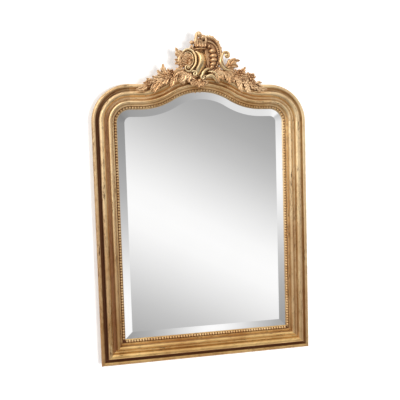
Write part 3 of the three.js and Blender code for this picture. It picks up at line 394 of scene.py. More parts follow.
class Nodes:
    """Short hand for the nodes of one tree."""

    def __init__(self, tree: bpy.types.NodeTree) -> None:
        """Empties the tree."""
        self.tree = tree
        self.tree.nodes.clear()

    def new(self, kind: str, **values: object) -> bpy.types.Node:
        """Adds a node and sets its properties.

        Args:
            kind: Type name of the node.
            **values: Properties of the node.

        Returns:
            The new node.
        """
        node = self.tree.nodes.new(kind)
        for key, value in values.items():
            setattr(node, key, value)
        return node

    def join(self, source: Socket, target: Socket) -> None:
        """Links one socket to another."""
        self.tree.links.new(source, target)

    def position(self) -> Socket:
        """Place of a surface point on the resting object."""
        return self.new("ShaderNodeTexCoord").outputs["Object"]

    def axes(self, source: Socket) -> tuple[Socket, ...]:
        """Splits a vector.

        Args:
            source: The vector.

        Returns:
            Its x, y and z.
        """
        node = self.new("ShaderNodeSeparateXYZ")
        self.join(source, node.inputs[0])
        return tuple(node.outputs)

    def feed(self, sockets: Iterable[Socket],
             values: Iterable[Value]) -> None:
        """Gives each socket its link or its number.

        Args:
            sockets: The sockets.
            values: A socket or a number for each.
        """
        for socket, value in zip(sockets, values):
            if isinstance(value, (int, float)):
                socket.default_value = float(value)
            else:
                self.join(value, socket)

    def attribute(self, name: str, output: str = "Fac") -> Socket:
        """A value that is stored on the mesh.

        Args:
            name: Name of the attribute.
            output: Output socket that is wanted.

        Returns:
            The socket.
        """
        return self.new("ShaderNodeAttribute", attribute_name=name).outputs[output]

    def stretch(self, source: Socket, scale: Triple) -> Socket:
        """Scales a coordinate.

        Args:
            source: The coordinate.
            scale: Factor on each axis.

        Returns:
            The scaled coordinate.
        """
        node = self.new("ShaderNodeMapping")
        node.inputs["Scale"].default_value = scale
        self.join(source, node.inputs["Vector"])
        return node.outputs["Vector"]

    def noise(self, place: Socket, scale: float, detail: float = 4.0,
              rough: float = 0.55, twist: float = 0.0) -> Socket:
        """Noise over a coordinate.

        Args:
            place: The coordinate.
            scale: Number of features to a metre.
            detail: Octaves.
            rough: Weight of the finer octaves.
            twist: Distortion.

        Returns:
            The noise value.
        """
        node = self.new("ShaderNodeTexNoise")
        node.inputs["Scale"].default_value = scale
        node.inputs["Detail"].default_value = detail
        node.inputs["Roughness"].default_value = rough
        node.inputs["Distortion"].default_value = twist
        self.join(place, node.inputs["Vector"])
        return node.outputs["Fac"]

    def ramp(self, source: Socket, low: float, high: float,
             start: float = 0.0, end: float = 1.0) -> Socket:
        """Maps a range of a value smoothly to another.

        Args:
            source: The value.
            low: Value that gives start.
            high: Value that gives end.
            start: Result at low.
            end: Result at high.

        Returns:
            The mapped value.
        """
        node = self.new("ShaderNodeMapRange", interpolation_type="SMOOTHSTEP")
        node.inputs["From Min"].default_value = low
        node.inputs["From Max"].default_value = high
        node.inputs["To Min"].default_value = start
        node.inputs["To Max"].default_value = end
        self.join(source, node.inputs["Value"])
        return node.outputs["Result"]

    def math(self, operation: Sum, a: Value, b: Value = 0.0,
             limited: bool = True) -> Socket:
        """Does one sum.

        Args:
            operation: The sum.
            a: First value.
            b: Second value.
            limited: True where the result of adding or multiplying is kept from 0 to 1.

        Returns:
            The result.
        """
        clamp = limited and operation in (Sum.ADD, Sum.MULTIPLY)
        node = self.new("ShaderNodeMath", operation=operation.value, use_clamp=clamp)
        self.feed(node.inputs, (a, b))
        return node.outputs[0]

    def blend(self, share: Socket, a: Value,
              b: Value) -> Socket:
        """Blends two values.

        Args:
            share: Share of the second.
            a: First value.
            b: Second value.

        Returns:
            The blend.
        """
        node = self.new("ShaderNodeMix", data_type="FLOAT")
        self.join(share, node.inputs[0])
        self.feed(node.inputs[2:4], (a, b))
        return node.outputs[0]

    def curve(self, source: Socket, points: Sequence[Pair]) -> Socket:
        """Maps a value through straight stretches between points.

        Args:
            source: The value.
            points: Value and result at each point, results from 0 to 1.

        Returns:
            The result.
        """
        low, high = points[0][0], points[-1][0]
        scaled = self.new("ShaderNodeMapRange")
        scaled.inputs["From Min"].default_value = low
        scaled.inputs["From Max"].default_value = high
        self.join(source, scaled.inputs["Value"])
        node = self.new("ShaderNodeFloatCurve")
        self.join(scaled.outputs["Result"], node.inputs["Value"])
        line = node.mapping.curves[0]
        places = [((value - low) / (high - low), result) for value, result in points]
        line.points[0].location = places[0]
        line.points[1].location = places[-1]
        for place in places[1:-1]:
            line.points.new(*place)
        for point in line.points:
            point.handle_type = "VECTOR"
        node.mapping.update()
        return node.outputs["Value"]

    def mix(self, factor: Socket, a: Tint,
            b: Tint) -> Socket:
        """Mixes two colours.

        Args:
            factor: Share of the second.
            a: First colour.
            b: Second colour.

        Returns:
            The mixed colour.
        """
        node = self.new("ShaderNodeMix", data_type="RGBA")
        self.join(factor, node.inputs[0])
        for socket, value in zip((node.inputs[6], node.inputs[7]), (a, b)):
            if isinstance(value, tuple):
                socket.default_value = (*value, 1.0)
            else:
                self.join(value, socket)
        return node.outputs[2]


class MaterialNodes(Nodes):
    """Nodes of one new material with a principled shader."""

    def __init__(self, name: str) -> None:
        """Starts the material.

        Args:
            name: Name of the material.
        """
        self.material = bpy.data.materials.new(name)
        self.material.use_nodes = True
        super().__init__(self.material.node_tree)
        self.output = self.new("ShaderNodeOutputMaterial")
        self.shader = self.new("ShaderNodeBsdfPrincipled")
        self.join(self.shader.outputs["BSDF"], self.output.inputs["Surface"])

    def bump(self, height: Socket, strength: float, distance: float) -> None:
        """Adds a bump to the shader, over any that is there.

        Args:
            height: Height value.
            strength: Strength of the bump.
            distance: Height in metres that the value stands for.
        """
        node = self.new("ShaderNodeBump")
        node.inputs["Strength"].default_value = strength
        node.inputs["Distance"].default_value = distance
        self.join(height, node.inputs["Height"])
        normal = self.shader.inputs["Normal"]
        if normal.is_linked:
            self.join(normal.links[0].from_socket, node.inputs["Normal"])
        self.join(node.outputs["Normal"], normal)


def linear(red: int, green: int, blue: int) -> Colour:
    """Turns a colour as seen into the linear colour of a shader.

    Args:
        red: Red from 0 to 255.
        green: Green from 0 to 255.
        blue: Blue from 0 to 255.

    Returns:
        The linear colour.
    """
    def one(value: int) -> float:
        """Linear value of one channel."""
        share = value / 255.0
        return share / 12.92 if share <= 0.04045 else ((share + 0.055) / 1.055) ** 2.4
    return one(red), one(green), one(blue)


@dataclass(frozen=True)
class GildedFinish:
    """Old gold leaf over red bole, worn on the high places, with painted shade in the hollows and painted
    light that pales it towards the top and the right.
    """

    name: str
    gold: Colour
    pale: Colour
    bole: Colour
    soot_and_shade: Colour
    rub: float = 0.4
    # painted shade in the hollows, as a share of the most
    shade_in_hollows: float = 0.8
    roughness: float = 0.36
    grain: float = 1.0
    metallic: float = 0.9
    # painted light: how much paler the leaf grows towards the top and towards the right
    painted_light_top: float = 0.0
    painted_light_right: float = 0.0
    # how much of the painted shade is taken off towards the right and the top
    shade_lift: float = 0.0
    cloud_scale: float = 9.0
    mottle_scale: float = 60.0
    speck_scale: float = 420.0
    streak_grain: Triple = (26.0, 210.0, 1.0)
    blot_grain: Triple = (5.0, 34.0, 1.0)
    # Spans in metres: height, width and arch_height for the painted light, shoulder_height and left_side for
    # where the painted shade lifts.
    height: Pair = (0.05, 0.95)
    width: Pair = (-0.4, 0.4)
    arch_height: Pair = (1.02, 1.16)
    shoulder_height: Pair = (1.0, 1.1)
    left_side: Pair = (-0.34, -0.2)

    def leaf(self, n: MaterialNodes, cloud: Socket, across: Socket,
             upward: Socket) -> Socket:
        """Colour of sound gold leaf, from the richer gold to the paler one, with painted light that pales it
        up the frame and towards the right.

        Args:
            n: Nodes of the material.
            cloud: Slow noise over the object.
            across: Place across the object in metres.
            upward: Place up the object in metres.

        Returns:
            The colour.
        """
        share = n.ramp(cloud, 0.34, 0.66, 0.0, 1.0 - self.painted_light_top - self.painted_light_right)
        # painted light: paler up the frame and towards the right, a little less pale again over the arch
        share = n.math(Sum.ADD, share, n.ramp(upward, *self.height, 0.0, self.painted_light_top))
        share = n.math(Sum.ADD, share, n.ramp(across, *self.width, 0.0, self.painted_light_right))
        share = n.math(Sum.SUBTRACT, share, n.ramp(upward, *self.arch_height, 0.0, self.painted_light_top * 0.45))
        return n.mix(share, self.gold, self.pale)

    def kept(self, n: MaterialNodes, across: Socket,
             upward: Socket) -> Socket:
        """Share of the painted shade that stays, less on the right-hand side and at the top.

        Args:
            n: Nodes of the material.
            across: Place across the object in metres.
            upward: Place up the object in metres.

        Returns:
            The share.
        """
        shade_lifted = n.math(Sum.MAXIMUM, n.ramp(across, *self.left_side), n.ramp(upward, *self.shoulder_height))
        return n.math(Sum.SUBTRACT, 1.0, n.math(Sum.MULTIPLY, shade_lifted, self.shade_lift))

    def make(self) -> Material:
        """Builds the material.

        Returns:
            The finished material.
        """
        n = MaterialNodes(self.name)
        place = n.position()
        drawn = n.attribute("grain", "Vector")
        recess = n.attribute("recess")
        across, _, upward = n.axes(place)
        cloud = n.noise(place, self.cloud_scale, 3.0)
        mottle = n.noise(place, self.mottle_scale, 5.0, 0.6)
        speck = n.noise(place, self.speck_scale, 3.0, 0.7)
        streak = n.noise(n.stretch(drawn, self.streak_grain), 1.0, 8.0, 0.66, 1.1)
        blot = n.noise(n.stretch(drawn, self.blot_grain), 1.0, 4.0, 0.6, 0.4)

        tone = self.leaf(n, cloud, across, upward)
        tone = n.mix(n.ramp(mottle, 0.5, 0.78, 0.0, 0.35), tone, self.bole)
        bright = n.math(Sum.MULTIPLY, n.ramp(streak, 0.46, 0.36), n.ramp(blot, 0.4, 0.55, 0.0, 0.5))
        tone = n.mix(bright, tone, tuple(min(c * 1.25, 0.95) for c in self.pale))
        worn = n.math(Sum.MULTIPLY, n.ramp(streak, 0.54, 0.62), n.ramp(blot, 0.44, 0.58))
        worn = n.math(Sum.MULTIPLY, worn, self.rub)
        tone = n.mix(worn, tone, self.soot_and_shade)

        # painted shade: hollows mixed towards the bole, the deepest towards dark brown, less at the top and
        # right
        kept = self.kept(n, across, upward)
        depth = n.math(Sum.ADD, recess, n.math(Sum.MULTIPLY, mottle, 0.22))
        deep = n.math(Sum.MULTIPLY, n.ramp(depth, 0.3, 0.95, 0.0, self.shade_in_hollows), kept)
        tone = n.mix(deep, tone, self.bole)
        depth = n.math(Sum.ADD, recess, n.math(Sum.MULTIPLY, speck, 0.25))
        darkest = n.ramp(depth, 0.75, 1.1, 0.0, self.shade_in_hollows)
        tone = n.mix(n.math(Sum.MULTIPLY, darkest, kept), tone, self.soot_and_shade)
        n.join(tone, n.shader.inputs["Base Color"])

        metal = n.math(Sum.SUBTRACT, self.metallic, n.math(Sum.MULTIPLY, deep, 0.45))
        n.join(metal, n.shader.inputs["Metallic"])
        rough = n.ramp(cloud, 0.3, 0.7, self.roughness - 0.05, self.roughness + 0.07)
        rough = n.math(Sum.ADD, rough, n.math(Sum.MULTIPLY, deep, 0.25))
        rough = n.math(Sum.ADD, rough, n.math(Sum.MULTIPLY, worn, 0.2))
        n.join(rough, n.shader.inputs["Roughness"])
        n.bump(speck, 0.12 * self.grain, 0.0006)
        n.bump(streak, 0.25 * self.grain, 0.0008)
        n.bump(mottle, 0.2 * self.grain, 0.0012)
        return n.material


@dataclass(frozen=True)
class SilveredGlassFinish:
    """Clear plate with a bright silvered back, a little grey with age."""

    name: str = "silvered_glass"
    tint: Colour = (0.975, 0.972, 0.97)
    hazed: Colour = (0.95, 0.948, 0.946)
    foxed: Colour = (0.6, 0.58, 0.55)

    def make(self) -> Material:
        """Builds the material.

        Returns:
            The finished material.
        """
        n = MaterialNodes(self.name)
        place = n.position()
        haze = n.noise(place, 5.0, 3.0)
        foxing = n.noise(place, 70.0, 6.0, 0.7)
        tone = n.mix(n.ramp(haze, 0.35, 0.7, 0.0, 0.3), self.tint, self.hazed)
        tone = n.mix(n.ramp(foxing, 0.74, 0.82, 0.0, 0.12), tone, self.foxed)
        n.join(tone, n.shader.inputs["Base Color"])
        n.shader.inputs["Metallic"].default_value = 1.0
        n.join(n.ramp(haze, 0.3, 0.7, 0.01, 0.03), n.shader.inputs["Roughness"])
        return n.material


@dataclass(frozen=True)
class PineFinish:
    """Sawn softwood, brown with age, its grain along one axis."""

    name: str
    light: Colour
    dark: Colour
    along: Triple = (1.2, 40.0, 40.0)
    stain: Colour = (0.06, 0.04, 0.03)

    def make(self) -> Material:
        """Builds the material.

        Returns:
            The finished material.
        """
        n = MaterialNodes(self.name)
        place = n.stretch(n.position(), self.along)
        figure = n.noise(place, 1.6, 5.0, 0.6, 1.4)
        line = n.noise(place, 9.0, 4.0, 0.65, 0.3)
        blot = n.noise(n.position(), 7.0, 3.0)
        tone = n.mix(n.ramp(figure, 0.32, 0.68), self.light, self.dark)
        tone = n.mix(n.ramp(line, 0.52, 0.7, 0.0, 0.55), tone, tuple(c * 0.5 for c in self.dark))
        tone = n.mix(n.ramp(blot, 0.5, 0.8, 0.0, 0.35), tone, self.stain)
        n.join(tone, n.shader.inputs["Base Color"])
        n.join(n.ramp(line, 0.3, 0.7, 0.72, 0.9), n.shader.inputs["Roughness"])
        n.bump(line, 0.35, 0.0008)
        n.bump(figure, 0.2, 0.0012)
        return n.material


@dataclass(frozen=True)
class IronFinish:
    """Forged iron, brown-black with grey scale and a little rust."""

    name: str = "forged_iron"
    black: Colour = (0.05, 0.045, 0.042)
    grey: Colour = (0.12, 0.11, 0.1)
    rust: Colour = (0.2, 0.085, 0.04)

    def make(self) -> Material:
        """Builds the material.

        Returns:
            The finished material.
        """
        n = MaterialNodes(self.name)
        place = n.position()
        scale = n.noise(place, 130.0, 5.0, 0.65)
        bloom = n.noise(place, 45.0, 5.0, 0.6)
        tone = n.mix(n.ramp(scale, 0.35, 0.65), self.black, self.grey)
        tone = n.mix(n.ramp(bloom, 0.5, 0.68, 0.0, 0.75), tone, self.rust)
        n.join(tone, n.shader.inputs["Base Color"])
        n.join(n.ramp(bloom, 0.45, 0.65, 0.75, 0.1), n.shader.inputs["Metallic"])
        n.join(n.ramp(scale, 0.3, 0.7, 0.42, 0.75), n.shader.inputs["Roughness"])
        n.bump(scale, 0.4, 0.0005)
        return n.material


class Palette:
    """Every finish of the mirror, each made once."""

    def __init__(self) -> None:
        """Makes the materials."""
        # bole shows through the leaf at random and under the painted shade of the hollows; the second colour
        # here is the dark brown of the worn flecks and of the painted shade deepest in the hollows
        bole, soot_and_shade = linear(132, 78, 42), linear(78, 44, 24)
        run = {"gold": linear(188, 142, 88), "pale": linear(242, 214, 168), "bole": bole, "soot_and_shade": soot_and_shade,
               "painted_light_top": 0.55, "painted_light_right": 0.18}
        # Each gilding carries its own share of painted shade in its hollows, lifted towards the top and
        # right: much on the left stile and the foot, little on the right stile, which is lit from the left.
        # The top rail's gold is paler, as painted light that meets the paled tops of the stiles.
        self.rail = GildedFinish("gilding_rail", linear(212, 170, 116), linear(242, 208, 158),
                                 bole, soot_and_shade, rub=0.6, shade_in_hollows=0.9, shade_lift=0.7).make()
        self.left_stile = GildedFinish("gilding_left_stile", rub=0.95, shade_in_hollows=0.9, shade_lift=0.65, **run).make()
        self.right_stile = GildedFinish("gilding_right_stile", rub=0.95, shade_in_hollows=0.2, **run).make()
        self.foot = GildedFinish("gilding_foot", linear(204, 158, 96), linear(232, 194, 130),
                                 bole, soot_and_shade, rub=0.95, shade_in_hollows=1.0, shade_lift=0.1, grain=1.2).make()
        self.pearl = GildedFinish("gilding_pearl", linear(212, 168, 112), linear(238, 206, 156),
                                  linear(140, 86, 50), soot_and_shade, rub=0.1, shade_in_hollows=0.9).make()
        self.carving = GildedFinish("gilding_carving", linear(204, 156, 108), linear(236, 200, 156),
                                    linear(144, 92, 60), soot_and_shade, rub=0.2, shade_in_hollows=0.85, grain=1.3).make()
        self.bright = GildedFinish("gilding_bright", linear(224, 184, 130), linear(248, 226, 182),
                                   linear(150, 100, 64), soot_and_shade, rub=0.1, shade_in_hollows=0.65, roughness=0.3,
                                   grain=0.6).make()
        self.glass = SilveredGlassFinish().make()
        self.pine = PineFinish("old_pine", linear(176, 134, 92), linear(132, 92, 58),
                               (40.0, 40.0, 1.2)).make()
        self.level_pine = PineFinish("old_level_pine", linear(176, 134, 92), linear(132, 92, 58)).make()
        self.board = PineFinish("backboard_pine", linear(150, 112, 76), linear(110, 76, 48)).make()
        self.dark_board = PineFinish("backboard_dark_pine", linear(128, 92, 60), linear(86, 58, 36),
                                     (1.0, 34.0, 46.0)).make()
        self.key = PineFinish("hard_key", linear(120, 80, 48), linear(84, 54, 32), (30.0, 30.0, 30.0)).make()
        self.iron = IronFinish().make()


# ---- The moulded frame


def run_length(points: np.ndarray) -> np.ndarray:
    """Length of a path up to each of its points."""
    return np.concatenate([[0.0], np.cumsum(np.linalg.norm(np.diff(points, axis=0), axis=1))])


def bezier(points: Sequence[Pair], count: int) -> list[Pair]:
    """Places along a curve, without its first.

    Args:
        points: Start, one or two handles, and end.
        count: Number of places.

    Returns:
        The places.
    """
    t = np.linspace(0.0, 1.0, count + 1)[1:]
    p = [np.array(point) for point in points]
    if len(p) == 3:
        rows = [(1 - s) ** 2 * p[0] + 2 * s * (1 - s) * p[1] + s * s * p[2] for s in t]
    else:
        rows = [(1 - s) ** 3 * p[0] + 3 * s * (1 - s) ** 2 * p[1] + 3 * s * s * (1 - s) * p[2] + s ** 3 * p[3]
                for s in t]
    return [(float(row[0]), float(row[1])) for row in rows]


@dataclass(frozen=True)
class Length:
    """One length of the moulding."""

    name: str
    places: np.ndarray
    shears: Pair
    trims: Pair
    finish: Material
    backing: Material
    slot: Slot
    seed: float
    # painted shade in the hollow and in the cove of this length, as shares of the most
    shade_in_hollows: Pair = (1.0, 1.0)
    pocketed: bool = False


@dataclass
class MouldedFrame:
    """The gilt moulding: two stiles, a foot rail, two corner blocks and the serpentine top rail."""

    palette: Palette
    lip: float = 22.6
    channel: float = 24.0
    fillet: float = 30.0
    band: float = 48.0
    hollow: float = 37.0
    torus: float = 53.0
    torus_edge: float = 46.5
    cove: float = 27.0
    outer_in: float = 42.0
    outer_out: float = 35.0
    channel_edge: float = 12.3
    riser_edge: float = 20.0
    band_edge: float = 33.5
    hollow_edge: float = 47.0
    torus_end: float = 69.5
    cove_edge: float = 85.0
    width: float = 100.0
    glass_rebate: Pair = (8.3, 20.0)
    board_rebate: Pair = (22.0, 8.0)
    joint: float = 0.05
    back: float = 0.15
    fine: int = 9
    pocket: Pair = (853.0, 955.0)
    pocket_side: Pair = (34.0, 88.0)
    pocket_depth: float = 11.0
    pocket_wall: float = 0.01
    hollow_span: Pair = (33.0, 50.0)
    cove_start: float = 64.0
    rebate_floor: float = 21.0
    back_corners: int = 9
    shift_along: float = 371.0
    shift_across: float = 53.0

    def section(self) -> np.ndarray:
        """Draws the moulding's section with its two rebates.

        Returns:
            Rows of distance outwards and height above the wall.
        """
        n = self.fine
        channel, riser, band, width = self.channel_edge, self.riser_edge, self.band_edge, self.width
        (inner, outer), wall = self.pocket_side, self.pocket_wall
        (glass, glass_floor), (board, board_floor) = self.glass_rebate, self.board_rebate
        pts: list[Pair] = [(0.0, glass_floor), (0.0, self.lip - 0.4), (0.5, self.lip),
                           (1.8, self.channel - 0.3)]
        pts += [(2.4, self.channel), (11.6, self.channel), (channel, self.channel + 0.7)]
        pts += [(channel, self.fillet - 0.8), (12.9, self.fillet), (18.2, self.fillet + 0.1)]
        pts += bezier([(18.8, self.fillet + 0.4), (riser, self.fillet + 4.0), (riser, self.band)], 5)
        pts += bezier([(riser, self.band), (26.1, self.band + 10.0), (band, self.band)], n)
        pts += bezier([(band, self.band), (34.9, self.hollow - 1.0), (41.6, self.hollow - 2.0),
                       (self.hollow_edge, self.hollow)], n)
        pts += bezier([(self.hollow_edge, self.hollow), (49.3, self.torus + 3.2), (65.0, self.torus + 3.2),
                       (self.torus_end, self.torus_edge)], n + 4)
        pts += bezier([(self.torus_end, self.torus_edge), (71.1, self.cove - 5.0), (84.2, self.cove - 6.0),
                       (self.cove_edge, self.outer_in - 2.0)], n + 2)
        pts += bezier([(self.cove_edge, self.outer_in - 2.0), (92.5, self.outer_in + 3.0),
                       (width - 0.8, self.outer_out + 0.6)], n)
        pts += [(width, self.outer_out - 1.0), (width, self.back + 0.8), (width - 0.8, self.back)]
        pts += [(u, self.back) for u in (outer + wall, outer, inner, inner - wall)]
        pts += [(board, self.back), (board, board_floor), (glass, board_floor), (glass, glass_floor)]
        return np.array(pts)

    def depth_of(self, section: np.ndarray, hollow: float, cove: float) -> np.ndarray:
        """Says how far each corner of the section lies in a hollow, which sets the painted shade there.

        Args:
            section: The section.
            hollow: Painted shade in the hollow beside the torus, as a share of the most.
            cove: Painted shade in the cove outside the torus, as a share of the most.

        Returns:
            A share from 0 on a crest to 1 at the bottom of a hollow.
        """
        at = [0, 2, 2.4, 11.6, 12.3, 13, 18, 19.5, 22, 26, 33, 37, 42, 46, 49, 54, 64, 69, 73, 78, 83, 86,
              93, 100]
        deep = [0.2, 0.2, 0.9, 0.9, 0.6, 0.08, 0.14, 0.6, 0.2, 0.02, 0.08, 0.6,
                0.74, 0.66, 0.3, 0.0, 0.1, 0.55, 0.9, 0.98, 0.8, 0.3, 0.42, 0.5]
        outward, level = section.T
        share = np.interp(outward, at, deep)
        share[(outward > self.hollow_span[0]) & (outward < self.hollow_span[1])] *= hollow
        share[outward > self.cove_start] *= cove
        share[level < self.rebate_floor] = 0.2
        return share

    def with_pocket(self, places: np.ndarray) -> np.ndarray:
        """Adds the places where the pocket of the hanging plate begins and ends.

        Args:
            places: Places along a stile.

        Returns:
            The places in order, with those of the pocket's ends.
        """
        ends = [z + step for z in self.pocket for step in (-self.pocket_wall, self.pocket_wall)]
        extra = np.array([[places[0, 0], z, places[0, 2], places[0, 3]] for z in ends])
        rows = np.vstack([places, extra])
        order = np.argsort(rows[:, 1] * (1.0 if places[-1, 1] > places[0, 1] else -1.0))
        return rows[order]

    def piece(self, length: Length) -> None:
        """Sweeps one length of the moulding.

        Args:
            length: The length.
        """
        section, places = self.section(), length.places
        # depth of each corner in a hollow, which sets the painted shade
        recess = self.depth_of(section, *length.shade_in_hollows)
        girth, along = run_length(section), run_length(places[:, :2])
        u, flat = section.T
        sunk = flat.copy()
        sunk[-7:-5] = self.pocket_depth
        last = len(places) - 1
        rings, grain = [], []
        for i, (x, z, ox, oz) in enumerate(places):
            h = sunk if length.pocketed and self.pocket[0] < z < self.pocket[1] else flat
            shear = length.shears[0] if i == 0 else length.shears[1] if i == last else 0.0
            trim = length.trims[0] if i == 0 else -length.trims[1] if i == last else 0.0
            lead = shear * u + trim
            rings.append(np.column_stack([x + ox * u + oz * lead, z + oz * u - ox * lead, h]))
            reach = along[i] + lead + length.seed * self.shift_along
            grain.append(np.column_stack([reach, girth + length.seed * self.shift_across, recess / MM]))
        solid = Solid()
        solid.loft(np.array(rings), grain=np.array(grain))
        m = len(section)
        backed = [i * m + j for i in range(last) for j in range(m - self.back_corners, m)]
        PieceMaker.build(length.name + "_moulding", solid, length.slot, length.finish, nodes=(length.name,),
                         crease=38.0, backing=length.backing, backed=backed)

    def build(self) -> None:
        """Makes the six lengths."""
        pal, j = self.palette, self.joint
        m = j * math.sqrt(2.0)
        left, right, gilding, worn = pal.left_stile, pal.right_stile, Slot.GILDING, Slot.WORN_GILDING
        stile_left = self.with_pocket(EDGE.run(Run.LEFT_STILE, 30))
        stile_right = self.with_pocket(EDGE.run(Run.RIGHT_STILE, 30))
        corner_left, corner_right = EDGE.run(Run.LEFT_CORNER, 20), EDGE.run(Run.RIGHT_CORNER, 20)
        foot, top = EDGE.run(Run.BOTTOM_RAIL, 24), EDGE.chain(TOP_RUNS)
        for length in (
            Length("left_stile", stile_left, (-1.0, 0.0), (m, j), left, pal.pine, gilding, 1.0,
                   pocketed=True),
            Length("right_stile", stile_right, (0.0, 1.0), (j, m), right, pal.pine, gilding, 2.0,
                   pocketed=True),
            Length("bottom_rail", foot, (-1.0, 1.0), (m, m), pal.foot, pal.level_pine, worn, 3.0, (0.4, 1.1)),
            Length("left_corner", corner_left, (0.0, 0.0), (j, j), left, pal.pine, gilding, 4.0),
            Length("right_corner", corner_right, (0.0, 0.0), (j, j), right, pal.pine, gilding, 5.0),
            Length("top_rail", top, (0.0, 0.0), (j, j), pal.rail, pal.level_pine, worn, 6.0, (0.8, 0.9)),
        ):
            self.piece(length)


@dataclass
class PearlStrings:
    """Strings of composition pearls in the channel beside the glass."""

    palette: Palette
    pitch: float = 11.4
    radius: float = 5.0
    channel: float = 24.3
    centre: float = 7.05
    sectors: int = 9
    crown: float = 1.28
    bead: tuple[Pair, ...] = (
        (-1.0, 0.24), (-0.86, 0.30), (-0.76, 0.62), (-0.42, 0.93), (0.0, 1.0), (0.42, 0.93), (0.76, 0.62),
        (0.86, 0.30), (1.0, 0.24),
    )
    # painted shade at the necks between the pearls and down their sides
    neck_shade: float = 900.0
    side_shade: float = 380.0

    def string(self, name: str, parts: Sequence[Stretch], inset: Pair) -> None:
        """Makes one string.

        Args:
            name: Name of the solid that it stands for.
            parts: Runs of the sight edge that it follows.
            inset: Distance kept clear at each end.
        """
        places = EDGE.chain(parts)
        line = places[:, :2] + places[:, 2:] * self.centre
        along = run_length(places[:, :2])
        total = along[-1]
        count = round(total / self.pitch)
        solid = Solid()
        rings, grain = [], []
        half = total / count / 2.0
        fan = np.linspace(0.0, math.pi, self.sectors)
        for k in range(count):
            for s, r in self.bead[1 if k else 0:]:
                at = np.clip((2 * k + 1) * half + s * half, inset[0], total - inset[1])
                x, z = np.interp(at, along, line[:, 0]), np.interp(at, along, line[:, 1])
                ox, oz = np.interp(at, along, places[:, 2]), np.interp(at, along, places[:, 3])
                width = self.radius * r
                across = np.cos(fan) * width
                height = self.channel + np.sin(fan) * self.radius * (self.crown * r - 0.02)
                rings.append(np.column_stack([x + ox * across, z + oz * across, height]))
                # painted shade: deepest at the necks and at the sides of each pearl
                depth = (1.0 - r) * self.neck_shade + (1.0 - np.sin(fan)) * self.side_shade
                grain.append(np.column_stack([np.full(len(fan), at), across, depth]))
        solid.loft(np.array(rings), grain=np.array(grain))
        PieceMaker.build(name + "_string", solid, Slot.BRIGHT_GILDING, self.palette.pearl, nodes=(name,),
                         crease=75.0)

    def build(self) -> None:
        """Makes the four strings."""
        top = ((Run.LEFT_CORNER, 24), *TOP_RUNS, (Run.RIGHT_CORNER, 24))
        self.string("left_pearls", ((Run.LEFT_STILE, 2),), (-4.5, 0.3))
        self.string("right_pearls", ((Run.RIGHT_STILE, 2),), (0.3, -4.5))
        self.string("bottom_pearls", ((Run.BOTTOM_RAIL, 2),), (3.5, 3.5))
        self.string("top_pearls", top, (0.3, 0.3))


@dataclass
class BevelledPlate:
    """The silvered plate with its wide bevel."""

    palette: Palette
    lap: float = 7.7
    bevel: float = 30.0
    front: float = 21.5947
    drop: float = 2.4
    thickness: float = 6.0
    rebate: float = 8.0
    ease: float = 0.35

    def outline(self, u: float) -> np.ndarray:
        """Outline at one distance outside the sight edge, its lower corners square.

        Args:
            u: The distance.

        Returns:
            Rows of x and z.
        """
        parts = ((Run.LEFT_STILE, 8), (Run.LEFT_CORNER, 20), *TOP_RUNS, (Run.RIGHT_CORNER, 20),
                 (Run.RIGHT_STILE, 8))
        places = EDGE.chain(parts)
        line = places[:, :2] + places[:, 2:] * u
        line[0, 1] -= u
        line[-1, 1] -= u
        foot = np.linspace(line[-1], line[0], 10)[1:-1]
        return np.vstack([line, foot])

    def build(self) -> None:
        """Makes the plate as one loft, from its back over the edge and the bevel to its face."""
        slope = self.drop / (self.bevel + self.rebate)
        edge = self.front - slope * (self.bevel + self.lap)
        back = self.front - self.thickness
        levels = [(self.lap - 0.5, back), (self.lap, back + 0.5), (self.lap, edge - 0.3),
                  (self.lap - 0.4, edge)]
        levels += [(-self.bevel + self.ease, self.front - slope * self.ease), (-self.bevel, self.front)]
        rings = [np.column_stack([self.outline(u), np.full(len(self.outline(u)), h)]) for u, h in levels]
        solid = Solid()
        solid.loft(np.array(rings))
        PieceMaker.build("silvered_plate", solid, Slot.MIRROR_PLATE, self.palette.glass,
                         nodes=("mirror_glass",),
                         crease=1.2)


# ---- Carving


def through(points: Sequence[Sequence[float]], count: int) -> np.ndarray:
    """A smooth path through points, evenly spaced.

    Args:
        points: Rows of x, z and height.
        count: Number of places.

    Returns:
        The places.
    """
    p = np.array([list(row) + [0.0] * (3 - len(row)) for row in points], dtype=float)
    p = np.vstack([2 * p[0] - p[1], p, 2 * p[-1] - p[-2]])
    rows = []
    for i in range(1, len(p) - 2):
        t = np.linspace(0.0, 1.0, 16, endpoint=False)[:, None]
        a, b, c, d = p[i - 1], p[i], p[i + 1], p[i + 2]
        rows.append(0.5 * (2 * b + (c - a) * t + (2 * a - 5 * b + 4 * c - d) * t ** 2
                           + (3 * b - a - 3 * c + d) * t ** 3))
    rows.append(p[-2][None])
    line = np.vstack(rows)
    along = run_length(line)
    at = np.linspace(0.0, along[-1], count)
    return np.column_stack([np.interp(at, along, line[:, k]) for k in range(3)])


def volute(x: float, z: float, rim: float, eye: float, start: float, turns: float, height: float,
           lift: float = 0.0, count: int = 10) -> list[Triple]:
    """Points of a volute, from its rim in to its eye.

    Args:
        x: Eye, across.
        z: Eye, up.
        rim: Radius at the start.
        eye: Radius at the end.
        start: Angle at the start, in turns.
        turns: Number of turns, negative for clockwise.
        height: Height at the start.
        lift: Rise to the eye.
        count: Number of points.

    Returns:
        The points.
    """
    points = []
    for i in range(count + 1):
        t = i / count
        radius = rim * (eye / rim) ** t
        angle = TAU * (start + turns * t)
        points.append((x + radius * math.cos(angle), z + radius * math.sin(angle), height + lift * t))
    return points


